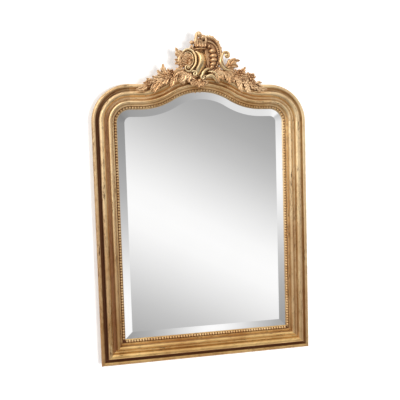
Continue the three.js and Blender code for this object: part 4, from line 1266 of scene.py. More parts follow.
def swell(values: Sequence[float], count: int) -> np.ndarray:
    """A smooth row of values through a few given ones.

    Args:
        values: Values, evenly spaced.
        count: Number of values wanted.

    Returns:
        The smooth row.
    """
    knots = np.linspace(0.0, 1.0, len(values))
    at = np.linspace(0.0, 1.0, count)
    slope = np.gradient(np.array(values, dtype=float), knots)
    index = np.clip(np.searchsorted(knots, at, side="right") - 1, 0, len(values) - 2)
    step = knots[1]
    t = (at - knots[index]) / step
    first, last = np.array(values, dtype=float)[index], np.array(values, dtype=float)[index + 1]
    blend = t * t * (3.0 - 2.0 * t)
    row = first + (last - first) * blend
    row += step * t * (1.0 - t) * (slope[index] * (1.0 - t) - slope[index + 1] * t)
    return np.maximum(row, 0.05)


def sides(path: np.ndarray) -> np.ndarray:
    """Unit vectors across a path, in its plan.

    Args:
        path: Places along it.

    Returns:
        One vector of x and z for each place.
    """
    tangent = np.gradient(path[:, :2], axis=0)
    tangent /= np.maximum(np.linalg.norm(tangent, axis=1), 1e-9)[:, None]
    return np.column_stack([-tangent[:, 1], tangent[:, 0]])


LEAF_ACROSS = np.array([-1.0, -0.93, -0.7, -0.42, -0.16, 0.0, 0.16, 0.42, 0.7, 0.93, 1.0])
LEAF_RELIEF = np.array([0.16, 0.5, 0.92, 1.0, 0.72, 0.5, 0.72, 1.0, 0.92, 0.5, 0.16])
ROUND = np.array([(math.cos(TAU * i / 12 + 0.26), math.sin(TAU * i / 12 + 0.26)) for i in range(12)])


@dataclass
class Carver:
    """Cuts scrolls, leaves, bosses and shells into one solid."""

    solid: Solid = field(default_factory=Solid)

    def strap(self, points: Sequence[Sequence[float]], widths: Sequence[float], heights: Sequence[float],
              count: int = 40, section: np.ndarray = ROUND, floor: float = 0.0) -> None:
        """A member of one section that swells and thins along a path.

        Args:
            points: The path.
            widths: Half widths, evenly spaced along it.
            heights: Half heights, evenly spaced along it.
            count: Number of rings.
            section: Section in units of the half width and half height.
            floor: Lowest height.
        """
        path = through(points, count)
        w = swell(widths, count)
        h = swell(heights, count)
        side = sides(path)
        rings = []
        for i in range(count):
            plan = path[i, :2] + side[i] * (section[:, :1] * w[i])
            rings.append(np.column_stack([plan, np.maximum(path[i, 2] + section[:, 1] * h[i], floor)]))
        self.solid.loft(np.array(rings))

    def leaf(self, root: Sequence[float], tip: Pair, width: float, bow: float, lift: float = 8.0,
             lobes: int = 3, body: float = 6.0, teeth: float = 0.42, curl: float = 0.0) -> None:
        """An acanthus leaf with a sunk rib, swept-back lobes and a lifted tip.

        Args:
            root: Where it starts, with its height.
            tip: Where it ends.
            width: Half width.
            bow: Sideways bow as a share of its length.
            lift: Height of the tip.
            lobes: Lobes on each side.
            body: Thickness at the root.
            teeth: Depth of the notches between the lobes.
            curl: How far the tip turns down again.
        """
        r = np.array(list(root) + [0.0] * (3 - len(root)))
        d = np.array([tip[0] - r[0], tip[1] - r[1]])
        mid = r[:2] + d * 0.5 + np.array([-d[1], d[0]]) * bow
        points = [tuple(r), (mid[0], mid[1], max(r[2], lift * 0.55)), (tip[0], tip[1], lift - curl)]
        rows = lobes * 7 + 4
        path = through(points, rows)
        t = np.linspace(0.0, 1.0, rows)
        path[:, 2] += curl * 0.9 * np.sin(np.pi * t) * t
        side = sides(path)
        along = np.column_stack([side[:, 1], -side[:, 0]])
        phase = (t * lobes * 0.999) % 1.0
        tooth = np.where(phase < 0.74, phase / 0.74, (1.0 - phase) / 0.26) ** 0.75
        shape = 0.3 * (1.0 - t) + 0.92 * np.sin(np.pi * t ** 0.78) ** 0.85
        shape[-1] = 0.03
        reach = width * shape * (1.0 - teeth + teeth * tooth)
        cols = LEAF_ACROSS
        rings = []
        for i in range(rows):
            thick = body * (1.0 - 0.62 * t[i])
            swept = width * 0.5 * (tooth[i] - 0.35) * np.abs(cols) ** 1.6 * shape[i]
            plan = path[i, :2] + side[i] * (cols[:, None] * reach[i]) + along[i] * swept[:, None]
            flute = 1.0 - 0.26 * (1.0 - tooth[i]) * np.abs(cols) ** 0.5
            top = path[i, 2] + thick * LEAF_RELIEF * flute + width * 0.12 * (cols ** 2) * t[i]
            low = np.full(2, max(path[i, 2] - thick * 0.35, 0.0))
            under = np.vstack([plan[-1] * 0.88 + path[i, :2] * 0.12, plan[0] * 0.88 + path[i, :2] * 0.12])
            rings.append(np.vstack([np.column_stack([plan, top]), np.column_stack([under, low])]))
        self.solid.loft(np.array(rings))

    def tuft(self, leaves: Sequence[Sequence[float]], body: float = 9.0, curl: float = 3.0) -> None:
        """Several leaves.

        Args:
            leaves: Root x, z and height, tip x and z, half width, bow, lift and lobes of each.
            body: Thickness at the root.
            curl: How far the tips turn down.
        """
        for x, z, height, tip_x, tip_z, width, bow, lift, lobes in leaves:
            self.leaf((x, z, height), (tip_x, tip_z), width, bow, lift, int(lobes), body, curl=curl)

    def mound(self, spine: Sequence[Sequence[float]], widths: Sequence[float],
              heights: Sequence[float]) -> None:
        """A low mass of stalks and small foliage that leaves spring from.

        Args:
            spine: Its path.
            widths: Half widths along it.
            heights: Half heights along it.
        """
        self.strap(spine, widths, heights, 60)

    def flower(self, x: float, z: float, radius: float, height: float, petals: int, turn: float = 0.0,
               base: float = 0.0) -> None:
        """A flower with cupped petals round a boss.

        Args:
            x: Middle, across.
            z: Middle, up.
            radius: Radius over the petals.
            height: Height of the boss.
            petals: Number of petals.
            turn: Angle of the first petal.
            base: Height of its back.
        """
        sectors = petals * 10
        angle = np.linspace(0.0, TAU, sectors, endpoint=False)
        wave = np.abs(np.cos(petals * (angle - turn) / 2.0))
        edge_r = radius * (0.66 + 0.34 * wave ** 0.55)
        edge = np.column_stack([x + edge_r * np.cos(angle), z + edge_r * np.sin(angle)])
        share = np.linspace(0.0, 1.0, 9)
        boss = np.where(share < 0.3, np.sqrt(np.maximum(0.0, 1.0 - (share / 0.3) ** 2)), 0.0)
        cup = np.sin(np.clip((share - 0.28) / 0.72, 0.0, 1.0) * math.pi * 0.86) ** 0.8
        petal = 0.5 * cup[:, None] * (0.45 + 0.55 * wave[None, :])
        heights = base + height * (0.3 + 0.55 * boss[:, None] + petal)
        heights[-1] = base + height * 0.3
        self.solid.dome((x, z), edge, heights, foot=max(base - 1.0, 0.0))

    def boss(self, x: float, z: float, radius: float, height: float, flutes: int = 0, base: float = 0.0,
             tall: float = 1.0) -> None:
        """A cushion-shaped boss, plain or fluted.

        Args:
            x: Middle, across.
            z: Middle, up.
            radius: Radius.
            height: Height.
            flutes: Number of flutes, or none.
            base: Height of its back.
            tall: Height in plan as a share of its width.
        """
        sectors = max(24, flutes * 8)
        angle = np.linspace(0.0, TAU, sectors, endpoint=False)
        wave = 1.0 - 0.1 * (1.0 - np.abs(np.cos(flutes * angle / 2.0))) if flutes else np.ones(sectors)
        edge = np.column_stack([x + radius * wave * np.cos(angle), z + radius * tall * wave * np.sin(angle)])
        share = np.linspace(0.0, 1.0, 8)
        heights = base + height * np.sqrt(np.maximum(0.0, 1.0 - (share * 0.98) ** 2))[:, None] * (
            1.0 - (1.0 - wave[None, :]) * 1.4 * share[:, None])
        self.solid.dome((x, z), edge, heights, foot=base)


@dataclass(frozen=True)
class Spray:
    """One side spray, with the solid that it stands for.

    Its leaves hold root x and z, tip x and z, half width, bow and lobes, its berries place and radius.
    """

    name: str
    node: str
    spine: Sequence[Triple]
    widths: Sequence[float]
    leaves: Sequence[Sequence[float]]
    berries: Sequence[Triple]


@dataclass(frozen=True)
class Bloom:
    """Flowers of one piece: x, z, radius, height, petals and base of each."""

    name: str
    node: str
    flowers: Sequence[tuple[float, float, float, float, int, float]]


LEFT_SPRAY = Spray(
    "left_spray_leaves", "left_spray",
    [(-98, 1180, 4), (-128, 1174, 5), (-160, 1162, 6), (-194, 1148, 5), (-226, 1136, 4), (-254, 1124, 3)],
    [4, 10, 13, 11, 8, 3],
    [(-148, 1178, -160, 1223, 12, 0.1, 3), (-152, 1176, -184, 1198, 12, 0.14, 3),
     (-160, 1168, -206, 1173, 13, 0.14, 4), (-140, 1176, -142, 1204, 9, -0.12, 2),
     (-124, 1180, -146, 1188, 10, 0.1, 3), (-104, 1180, -124, 1162, 10, 0.1, 3),
     (-120, 1170, -132, 1129, 14, 0.1, 4), (-140, 1166, -150, 1138, 11, -0.1, 3),
     (-150, 1158, -200, 1106, 17, -0.12, 4), (-170, 1160, -204, 1122, 12, 0.12, 3),
     (-190, 1156, -228, 1165, 11, 0.14, 3), (-206, 1148, -242, 1148, 10, 0.1, 3),
     (-196, 1146, -214, 1119, 10, 0.1, 3), (-222, 1136, -273, 1118, 12, 0.06, 4),
     (-222, 1134, -246, 1114, 9, -0.08, 2), (-108, 1176, -108, 1146, 10, -0.1, 3),
     (-134, 1178, -164, 1170, 9, 0.1, 3), (-154, 1170, -186, 1156, 10, -0.1, 3),
     (-180, 1160, -210, 1147, 9, 0.1, 3), (-206, 1146, -234, 1134, 8, -0.1, 2)],
    [(-176, 1150, 5.5), (-184, 1142, 5), (-168, 1156, 5), (-214, 1160, 5), (-190, 1132, 5),
     (-138, 1188, 5), (-116, 1188, 5), (-234, 1130, 4.5), (-206, 1128, 5)])
RIGHT_SPRAY = Spray(
    "right_spray_leaves", "right_spray",
    [(112, 1182, 4), (142, 1176, 6), (174, 1166, 6), (204, 1154, 5), (232, 1138, 4), (256, 1128, 3)],
    [4, 8, 10, 9, 7, 3],
    [(172, 1180, 181, 1214, 10, 0.14, 3), (138, 1182, 176, 1170, 12, 0.1, 3),
     (130, 1180, 128, 1150, 12, 0.1, 3), (148, 1172, 146, 1134, 13, 0.1, 3),
     (158, 1160, 164, 1109, 13, -0.08, 4), (176, 1158, 184, 1122, 12, 0.08, 3),
     (188, 1146, 203, 1100, 13, -0.12, 4), (204, 1150, 226, 1120, 12, -0.1, 3),
     (186, 1176, 196, 1190, 9, 0.1, 2), (146, 1186, 136, 1204, 9, 0.1, 2),
     (226, 1142, 250, 1150, 9, 0.12, 3), (236, 1136, 274, 1120, 11, -0.08, 3),
     (232, 1132, 246, 1112, 9, -0.1, 2), (118, 1182, 114, 1148, 11, 0.1, 3),
     (128, 1180, 160, 1172, 10, 0.12, 3), (142, 1176, 168, 1154, 11, -0.12, 3),
     (162, 1172, 196, 1164, 10, 0.12, 3), (172, 1164, 202, 1142, 11, -0.1, 3),
     (166, 1178, 192, 1180, 9, 0.1, 2), (196, 1158, 226, 1142, 10, 0.1, 3),
     (212, 1146, 238, 1126, 9, -0.1, 3), (150, 1168, 154, 1142, 10, 0.08, 3)],
    [(190, 1158, 6), (198, 1148, 6), (184, 1148, 5.5), (206, 1138, 5.5), (192, 1134, 5),
     (232, 1148, 6), (228, 1128, 5.5), (240, 1140, 5), (170, 1148, 6), (162, 1168, 5.5), (144, 1158, 5.5),
     (214, 1158, 5), (250, 1130, 4.5)])
BLOOMS = (
    Bloom("left_rose", "left_rosette", [(-126, 1190, 12, 19, 5, 5.0)]),
    Bloom("left_bloom", "left_flower", [(-220, 1148, 13, 17, 5, 5.0)]),
    Bloom("right_rose", "right_rosette", [(158, 1189, 16, 21, 6, 5.0)]),
    Bloom("right_bloom", "right_flower", [(207, 1173, 17, 20, 6, 5.0), (214, 1146, 14, 17, 6, 6.0)]),
)


@dataclass
class Crest:
    """The carved crest: crescent, scrolls, shell, leaves, drop and the two sprays."""

    palette: Palette
    sprays: tuple[Spray, ...] = (LEFT_SPRAY, RIGHT_SPRAY)
    blooms: tuple[Bloom, ...] = BLOOMS

    def finish(self, name: str, carver: Carver, slot: Slot, material: Material,
               nodes: Sequence[str]) -> None:
        """Makes one carved piece.

        Args:
            name: Name of the piece.
            carver: What was carved.
            slot: Its material slot.
            material: Its material.
            nodes: Solids that it stands for.
        """
        PieceMaker.build(name, carver.solid, slot, material, nodes=nodes, base=EDGE.carving_back, crease=62.0)

    def cartouche(self) -> None:
        """The smooth crescent, its ridge nearer its left edge."""
        c = Carver()
        n = 46
        left = through([(-35, 1274), (-26, 1257), (-22, 1238), (-25, 1219), (-32, 1204), (-31, 1190),
                        (-19, 1176)], n)
        right = through([(13, 1270), (19, 1256), (20, 1241), (18, 1226), (12, 1211), (2, 1196), (-8, 1184),
                         (-16, 1175)], n)
        ridge = swell([0.44, 0.38, 0.35, 0.37, 0.48], n)
        rise = swell([18, 29, 33.5, 31, 24, 17, 10], n)
        cols = np.linspace(0.0, 1.0, 17)
        rings = []
        for i in range(n):
            k = ridge[i]
            bulge = np.where(cols < k, np.sin(cols / k * math.pi / 2) ** 0.8,
                             np.cos((cols - k) / (1 - k) * math.pi / 2) ** 0.75)
            plan = left[i, :2] + (right[i, :2] - left[i, :2]) * cols[:, None]
            top = 6.0 + (rise[i] - 6.0) * bulge
            foot = np.array([[*right[i, :2], 0.0], [*left[i, :2], 0.0]])
            rings.append(np.vstack([np.column_stack([plan, top]), foot]))
        c.solid.loft(np.array(rings))
        self.finish("crescent", c, Slot.BRIGHT_GILDING, self.palette.bright, ("cartouche",))

    def left_scroll(self) -> None:
        """Two close ridges that run down the crescent and turn into one volute."""
        c = Carver()
        outer = [(-84, 1262, 7), (-72, 1275, 10), (-56, 1280, 12), (-40, 1273, 15), (-30, 1256, 18),
                 (-27, 1238, 19),
                 (-30, 1220, 18), (-40, 1205, 15)]
        outer += volute(-60, 1207, 16, 2.8, -0.17, -1.35, 14, 9, 16)
        c.strap(outer, [2.4, 4.2, 4.8, 4.8, 4.8, 4.6, 4.2, 3.8, 3.2, 2.8], [4, 7, 8, 8, 8, 7.5, 7, 6, 5, 4],
                110)
        inner = [(-78, 1256, 7), (-66, 1267, 9), (-52, 1269, 10), (-40, 1258, 13), (-37, 1240, 13),
                 (-40, 1224, 12),
                 (-50, 1214, 10)]
        c.strap(inner, [1.4, 2.4, 2.8, 2.8, 2.6, 2.2, 1.2], [2, 4.5, 5, 5, 5, 4, 2], 50)
        c.solid.ball((-60, 1207, 22), 5.0, 9, 16)
        self.finish("left_scroll", c, Slot.BRIGHT_GILDING, self.palette.bright, ("left_c_scroll",))

    def rocaille(self) -> None:
        """The rough fan of shell work inside the left scroll."""
        c = Carver()
        centre = (-58.0, 1240.0)
        sectors = 96
        angle = np.linspace(0.0, TAU, sectors, endpoint=False)
        spine = through([(-56, 1279), (-72, 1272), (-86, 1258), (-91, 1240), (-87, 1222), (-72, 1208),
                         (-48, 1208),
                         (-35, 1224), (-32, 1246), (-40, 1268), (-56, 1279)], 200)[:-1]
        bearing = np.arctan2(spine[:, 1] - centre[1], spine[:, 0] - centre[0]) % TAU
        order = np.argsort(bearing)
        radius = np.hypot(spine[:, 0] - centre[0], spine[:, 1] - centre[1])
        reach = np.interp(angle, bearing[order], radius[order], period=TAU)
        reach *= 1.0 + 0.05 * np.cos(angle * 16.0)
        edge = np.column_stack([centre[0] + reach * np.cos(angle), centre[1] + reach * np.sin(angle)])
        share = np.linspace(0.0, 1.0, 16)[:, None]
        rib = 0.5 + 0.5 * np.cos(angle[None, :] * 16.0)
        scale = 0.5 + 0.5 * np.cos(share * TAU * 3.5)
        heights = 11.0 - 4.0 * share ** 2 + 3.0 * rib * np.clip(share * 2.0, 0, 1) + 2.6 * scale * (1 - rib)
        c.solid.dome(centre, edge, heights)
        c.tuft([(-56, 1232, 8, -84, 1258, 9, 0.14, 15, 3), (-58, 1226, 8, -88, 1238, 9, 0.1, 15, 3),
                (-50, 1242, 8, -66, 1268, 8, 0.1, 14, 3), (-44, 1236, 9, -50, 1262, 7, -0.1, 14, 2)],
               8.0)
        self.finish("rocaille", c, Slot.RED_BOLE, self.palette.carving, ("rocaille_panel",))

    def left_wing(self) -> None:
        """Pointed leaves that flare from the outside of the left scroll."""
        c = Carver()
        c.mound([(-66, 1276, 4), (-82, 1264, 6), (-92, 1246, 7), (-93, 1228, 7), (-82, 1210, 5)],
                [3, 7, 9, 9, 4], [4, 8, 10, 9, 4])
        c.tuft([(-78, 1250, 8, -108, 1286, 13, 0.1, 17, 3),
                (-82, 1246, 8, -111, 1258, 11, -0.12, 16, 3),
                (-80, 1236, 8, -113, 1240, 10, 0.1, 15, 3),
                (-78, 1228, 8, -112, 1220, 12, -0.12, 15, 3),
                (-72, 1268, 6, -92, 1276, 8, 0.16, 13, 2), (-76, 1214, 6, -98, 1204, 9, -0.1, 12, 2)])
        self.finish("left_wing_leaves", c, Slot.GILDING, self.palette.carving, ("left_wing",))

    def left_acanthus(self) -> None:
        """Leaves that fall from the left volute on to the arch."""
        c = Carver()
        c.mound([(-36, 1188, 4), (-58, 1184, 6), (-82, 1184, 7), (-104, 1180, 5)], [6, 13, 14, 7],
                [5, 9, 9, 5])
        c.tuft([(-76, 1200, 8, -112, 1196, 12, 0.18, 15, 3),
                (-74, 1196, 9, -120, 1168, 16, -0.18, 15, 4),
                (-70, 1192, 9, -96, 1146, 15, 0.14, 15, 4), (-62, 1190, 9, -80, 1138, 12, -0.08, 13, 3),
                (-54, 1188, 9, -60, 1148, 12, 0.08, 13, 3), (-50, 1186, 8, -40, 1158, 9, -0.1, 12, 2)],
               10.0)
        self.finish("left_fall", c, Slot.WORN_GILDING, self.palette.carving, ("left_acanthus",))

    def shell(self) -> None:
        """The hollow shell: fat ribs stacked under a dark arched hollow."""
        c = Carver()
        rim = [(4, 1316), (24, 1328), (46, 1322), (62, 1306), (72, 1284), (75, 1258), (73, 1234), (66, 1212),
               (48, 1200), (24, 1200)]
        line = through(rim, 60)
        foot = through([(24, 1200), (14, 1214), (14, 1240), (10, 1272), (4, 1316)], 16)[1:-1]
        edge = np.vstack([line[:, :2], foot[:, :2]])[::-1]
        share = np.linspace(0.0, 1.0, 12)[:, None]
        sectors = len(edge)
        bowl = 3.0 + 8.0 * share ** 2.4 + np.zeros((1, sectors))
        c.solid.dome((38.0, 1260.0), edge, bowl)
        ribs = [(30, 1292, 11, 8, 0.5), (43, 1275, 16, 10, 0.2), (47, 1256, 17, 9.8, 0.06),
                (47, 1239, 16.5, 9.2, -0.06), (44, 1223, 15, 8.4, -0.16), (39, 1210, 12, 7, -0.3)]
        for x, z, long, thick, lean in ribs:
            dx, dz = math.cos(lean), -math.sin(lean)
            path = [(x - dx * long, z - dz * long - 2, 7), (x, z, 11), (x + dx * long, z + dz * long + 2, 9)]
            c.strap(path, [thick * 0.2, thick * 0.72, thick * 0.98, thick, thick * 0.76, thick * 0.25],
                    [2, 6.5, 9, 9.5, 7.5, 3], 30)
        c.strap([(12, 1300, 6), (22, 1312, 9), (38, 1310, 10), (54, 1298, 10), (64, 1280, 9), (66, 1258, 8)],
                [1.6, 3.4, 4.0, 4.0, 3.4, 1.6], [3, 6, 7, 7, 6, 3], 44)
        c.strap([(15, 1286, 7), (16, 1262, 9), (19, 1238, 9), (24, 1216, 8), (34, 1202, 6)],
                [1.4, 3.0, 3.2, 3.0, 1.4], [3, 6, 6.5, 6, 3], 40)
        lip = through([(57, 1297), (66, 1284), (70, 1264), (70, 1244), (66, 1226), (58, 1212)], 12)
        for x, z, _ in lip:
            c.solid.ball((x, z, 12.0), 4.4, 8, 12, 1.1)
        self.finish("shell_hollow", c, Slot.GILDING, self.palette.carving, ("shell",))

    def shell_rim(self) -> None:
        """The knobbed rim round the shell."""
        c = Carver()
        path = [(4, 1318, 9), (24, 1329, 11), (44, 1325, 13), (60, 1312, 13), (72, 1292, 13), (77, 1270, 12),
                (76, 1248, 10), (72, 1228, 8)]
        c.strap(path, [3, 5.6, 6.4, 6.4, 6.2, 5.4, 4.4, 2.4], [4, 8, 9, 9, 9, 8, 6, 3], 60)
        knobs = [(22, 1331, 6), (33, 1331, 6.5), (43, 1327, 8), (54, 1318, 6.5), (64, 1309, 8.5),
                 (70, 1298, 6.5),
                 (76, 1286, 6.5), (78, 1275, 6), (79, 1264, 5.5), (79, 1254, 5)]
        for x, z, r in knobs:
            c.solid.ball((x, z, 15.0), r, 8, 12, 0.9)
        self.finish("shell_rim_knobs", c, Slot.BRIGHT_GILDING, self.palette.carving, ("shell_rim",))

    def finial(self) -> None:
        """The bulb and the two curled knobs at the top."""
        c = Carver()
        c.boss(-8, 1298, 21, 22, 7, 0.0, 0.9)
        c.boss(-7, 1309, 19, 17, 5, 0.0, 1.2)
        c.strap([(-28, 1292, 10), (-28, 1306, 15), (-24, 1320, 17)] + volute(-11, 1335, 12, 4, 0.56, -1.0,
                                                                             18, 4, 12),
                [4, 6.6, 7.0, 6.6, 6.0, 5, 4.4], [5, 9, 9, 9, 8, 6, 5], 56)
        c.solid.ball((-11, 1337, 22), 9.6, 10, 16)
        c.strap([(12, 1298, 12), (17, 1312, 15)] + volute(4, 1325, 11, 3.4, -0.02, 0.95, 16, 4, 10),
                [3.4, 5.4, 5.6, 5, 4.2, 3.4], [5, 8, 8, 7, 5, 4], 46)
        c.solid.ball((4, 1326, 20), 7.2, 9, 14)
        c.tuft([(-20, 1286, 16, -18, 1318, 10, 0.12, 27, 3), (-4, 1284, 16, -4, 1316, 9, -0.1, 28, 3),
                (8, 1286, 14, 9, 1312, 8, -0.1, 22, 2)], 9.0)
        c.strap([(-37, 1281, 9), (-24, 1280, 17), (-8, 1281, 21), (8, 1282, 17), (19, 1285, 9)],
                [1.6, 3.0, 3.4, 3.0, 1.6], [4, 6, 7, 6, 4], 34)
        self.finish("finial_curls", c, Slot.BRIGHT_GILDING, self.palette.carving, ("finial",))

    def bud(self) -> None:
        """The round bud on its bent stem."""
        c = Carver()
        c.strap([(-34, 1276, 10), (-38, 1286, 12), (-41, 1297, 12)], [4, 4.6, 4.4], [5, 6, 6], 16)
        c.strap([(-50, 1278, 8), (-47, 1288, 10), (-43, 1297, 11)], [2, 3, 2], [3, 4, 3], 12)
        c.solid.ball((-41, 1307, 12), 8.4, 10, 16, 0.95)
        self.finish("top_bud", c, Slot.GILDING, self.palette.carving, ("bud",))

    def right_scroll(self) -> None:
        """The open scroll that springs from the arch and curls over to the right."""
        c = Carver()
        path = list(reversed(volute(101, 1257, 19, 3.6, 0.5, -1.2, 12, 8, 16)))
        path += [(77, 1246, 14), (74, 1230, 16), (80, 1214, 16), (93, 1203, 14), (110, 1198, 12),
                 (128, 1197, 8)]
        c.strap(path, [4.2, 5.0, 5.6, 6.2, 6.8, 7.0, 6.4, 5.0, 2.4], [5, 7, 8, 9, 10, 10, 8, 6, 3], 100)
        c.solid.ball((101, 1257, 19), 6.4, 9, 16)
        edge = [(85, 1256, 17), (82, 1238, 21), (86, 1222, 21), (97, 1211, 18), (112, 1205, 14),
                (126, 1202, 9)]
        c.strap(edge, [1.0, 2.2, 2.4, 2.2, 1.8, 0.9], [2, 4, 4.5, 4, 3, 1.5], 36)
        self.finish("right_scroll", c, Slot.BRIGHT_GILDING, self.palette.bright, ("right_c_scroll",))

    def right_leaf(self) -> None:
        """The long lobed leaf beside the right scroll."""
        c = Carver()
        c.tuft([(100, 1204, 8, 158, 1238, 15, 0.2, 18, 4), (116, 1216, 10, 150, 1212, 13, 0.14, 15, 3),
                (112, 1216, 10, 140, 1244, 11, 0.12, 18, 3),
                (104, 1206, 8, 132, 1198, 10, 0.1, 12, 2)], 10.0)
        self.finish("right_leaf_lobes", c, Slot.GILDING, self.palette.carving, ("right_leaf",))

    def right_acanthus(self) -> None:
        """Leaves on a low mound of stalks that fall from the shell on to the arch."""
        c = Carver()
        c.mound([(36, 1196, 5), (58, 1192, 7), (84, 1186, 8), (108, 1180, 6), (126, 1178, 4)],
                [5, 13, 15, 12, 5], [5, 9, 10, 8, 4])
        c.tuft([(50, 1202, 9, 36, 1184, 9, 0.1, 14, 2), (60, 1204, 9, 52, 1172, 12, 0.1, 15, 3),
                (62, 1190, 9, 70, 1148, 13, -0.1, 14, 3), (78, 1200, 9, 88, 1158, 15, -0.14, 15, 4),
                (88, 1194, 9, 112, 1140, 15, 0.12, 14, 4), (96, 1194, 9, 130, 1158, 14, 0.12, 14, 4),
                (70, 1212, 9, 60, 1192, 10, 0.1, 15, 2), (100, 1192, 8, 140, 1180, 11, 0.12, 13, 3)],
               10.0)
        self.finish("right_fall", c, Slot.GILDING, self.palette.carving, ("right_acanthus",))

    def centre_scrolls(self) -> None:
        """Small bright scrolls at the foot of the crescent and of the shell."""
        c = Carver()
        c.strap([(34, 1206, 9), (18, 1202, 13), (4, 1190, 15)] + volute(1, 1168, 10, 3.0, 0.3, 0.95, 14, 4,
                                                                        10),
                [2.6, 6.0, 6.4, 5.6, 4.4, 3.4], [4, 9, 9, 8, 6, 4], 56)
        c.strap([(10, 1160, 7), (17, 1171, 12), (34, 1177, 15), (48, 1168, 13), (60, 1152, 8)],
                [2.4, 5.6, 6.4, 5.4, 1.8], [4, 8, 9, 8, 3], 44)
        c.strap([(24, 1193, 9), (42, 1192, 12), (56, 1182, 12), (68, 1160, 8), (72, 1148, 5)],
                [2, 4.4, 4.8, 4.0, 1.4], [3, 7, 7, 6, 2], 40)
        c.strap([(-56, 1190, 8), (-44, 1193, 11)] + volute(-33, 1182, 12, 3.0, 0.3, -1.05, 12, 6, 12),
                [2.4, 5.0, 5.4, 4.6, 3.4], [4, 7, 7.5, 6, 4], 44)
        self.finish("foot_scrolls", c, Slot.GILDING, self.palette.bright, ("centre_scrolls",))

    def centre_drop(self) -> None:
        """The cluster that hangs over the moulding at the middle."""
        c = Carver()
        c.mound([(-46, 1156, 4), (-22, 1148, 6), (2, 1148, 6), (20, 1158, 4)], [6, 14, 14, 6],
                [5, 9, 9, 5])
        c.boss(-12, 1154, 15, 19, 6, 0.0, 1.0)
        c.tuft([(-24, 1160, 9, -56, 1150, 11, 0.16, 14, 3), (-22, 1156, 9, -38, 1137, 10, 0.1, 14, 3),
                (-12, 1152, 9, -19, 1128, 9, 0.06, 14, 3), (-4, 1152, 9, 6, 1131, 10, -0.1, 14, 3),
                (2, 1156, 9, 24, 1145, 10, -0.14, 13, 3), (-28, 1170, 8, -52, 1170, 9, 0.12, 12, 2)],
               9.0)
        c.strap([(-2, 1158, 12)] + volute(10, 1146, 10, 2.8, 0.3, -0.95, 13, 4, 10), [3, 4, 3.6, 3],
                [5, 6, 5, 4], 34)
        c.strap([(-32, 1152, 10)] + volute(-42, 1142, 8, 2.4, 0.2, 0.95, 11, 4, 10), [2.4, 3.4, 3, 2.4],
                [4, 5, 4, 3], 30)
        for x, z, r in [(-10, 1140, 5.5), (-28, 1143, 5), (-18, 1134, 4.5)]:
            c.solid.ball((x, z, 11.0), r, 8, 12)
        self.finish("centre_cluster", c, Slot.WORN_GILDING, self.palette.carving, ("centre_drop",))

    def spray(self, spray: Spray) -> None:
        """Carves one side spray.

        Args:
            spray: The spray.
        """
        c = Carver()
        c.mound(spray.spine, spray.widths, [4, 7, 6.5, 6, 5, 3])
        c.tuft([(*leaf[:2], 7, *leaf[2:6], 13, leaf[6]) for leaf in spray.leaves])
        for x, z, r in spray.berries:
            c.solid.ball((x, z, 10.5), r, 8, 12)
        self.finish(spray.name, c, Slot.GILDING, self.palette.carving, (spray.node,))

    def bloom(self, bloom: Bloom) -> None:
        """Carves the flowers of one piece.

        Args:
            bloom: The flowers.
        """
        c = Carver()
        for x, z, radius, height, petals, base in bloom.flowers:
            c.flower(x, z, radius, height, petals, base=base)
        self.finish(bloom.name, c, Slot.GILDING, self.palette.carving, (bloom.node,))

    def build(self) -> None:
        """Carves the whole crest."""
        for carve in (self.cartouche, self.left_scroll, self.rocaille, self.left_wing, self.left_acanthus,
                      self.shell, self.shell_rim, self.finial, self.bud, self.right_scroll, self.right_leaf,
                      self.right_acanthus, self.centre_scrolls, self.centre_drop):
            carve()
        for spray in self.sprays:
            self.spray(spray)
        for bloom in self.blooms:
            self.bloom(bloom)


# ---- The back: boards, keys, blocks and ironwork


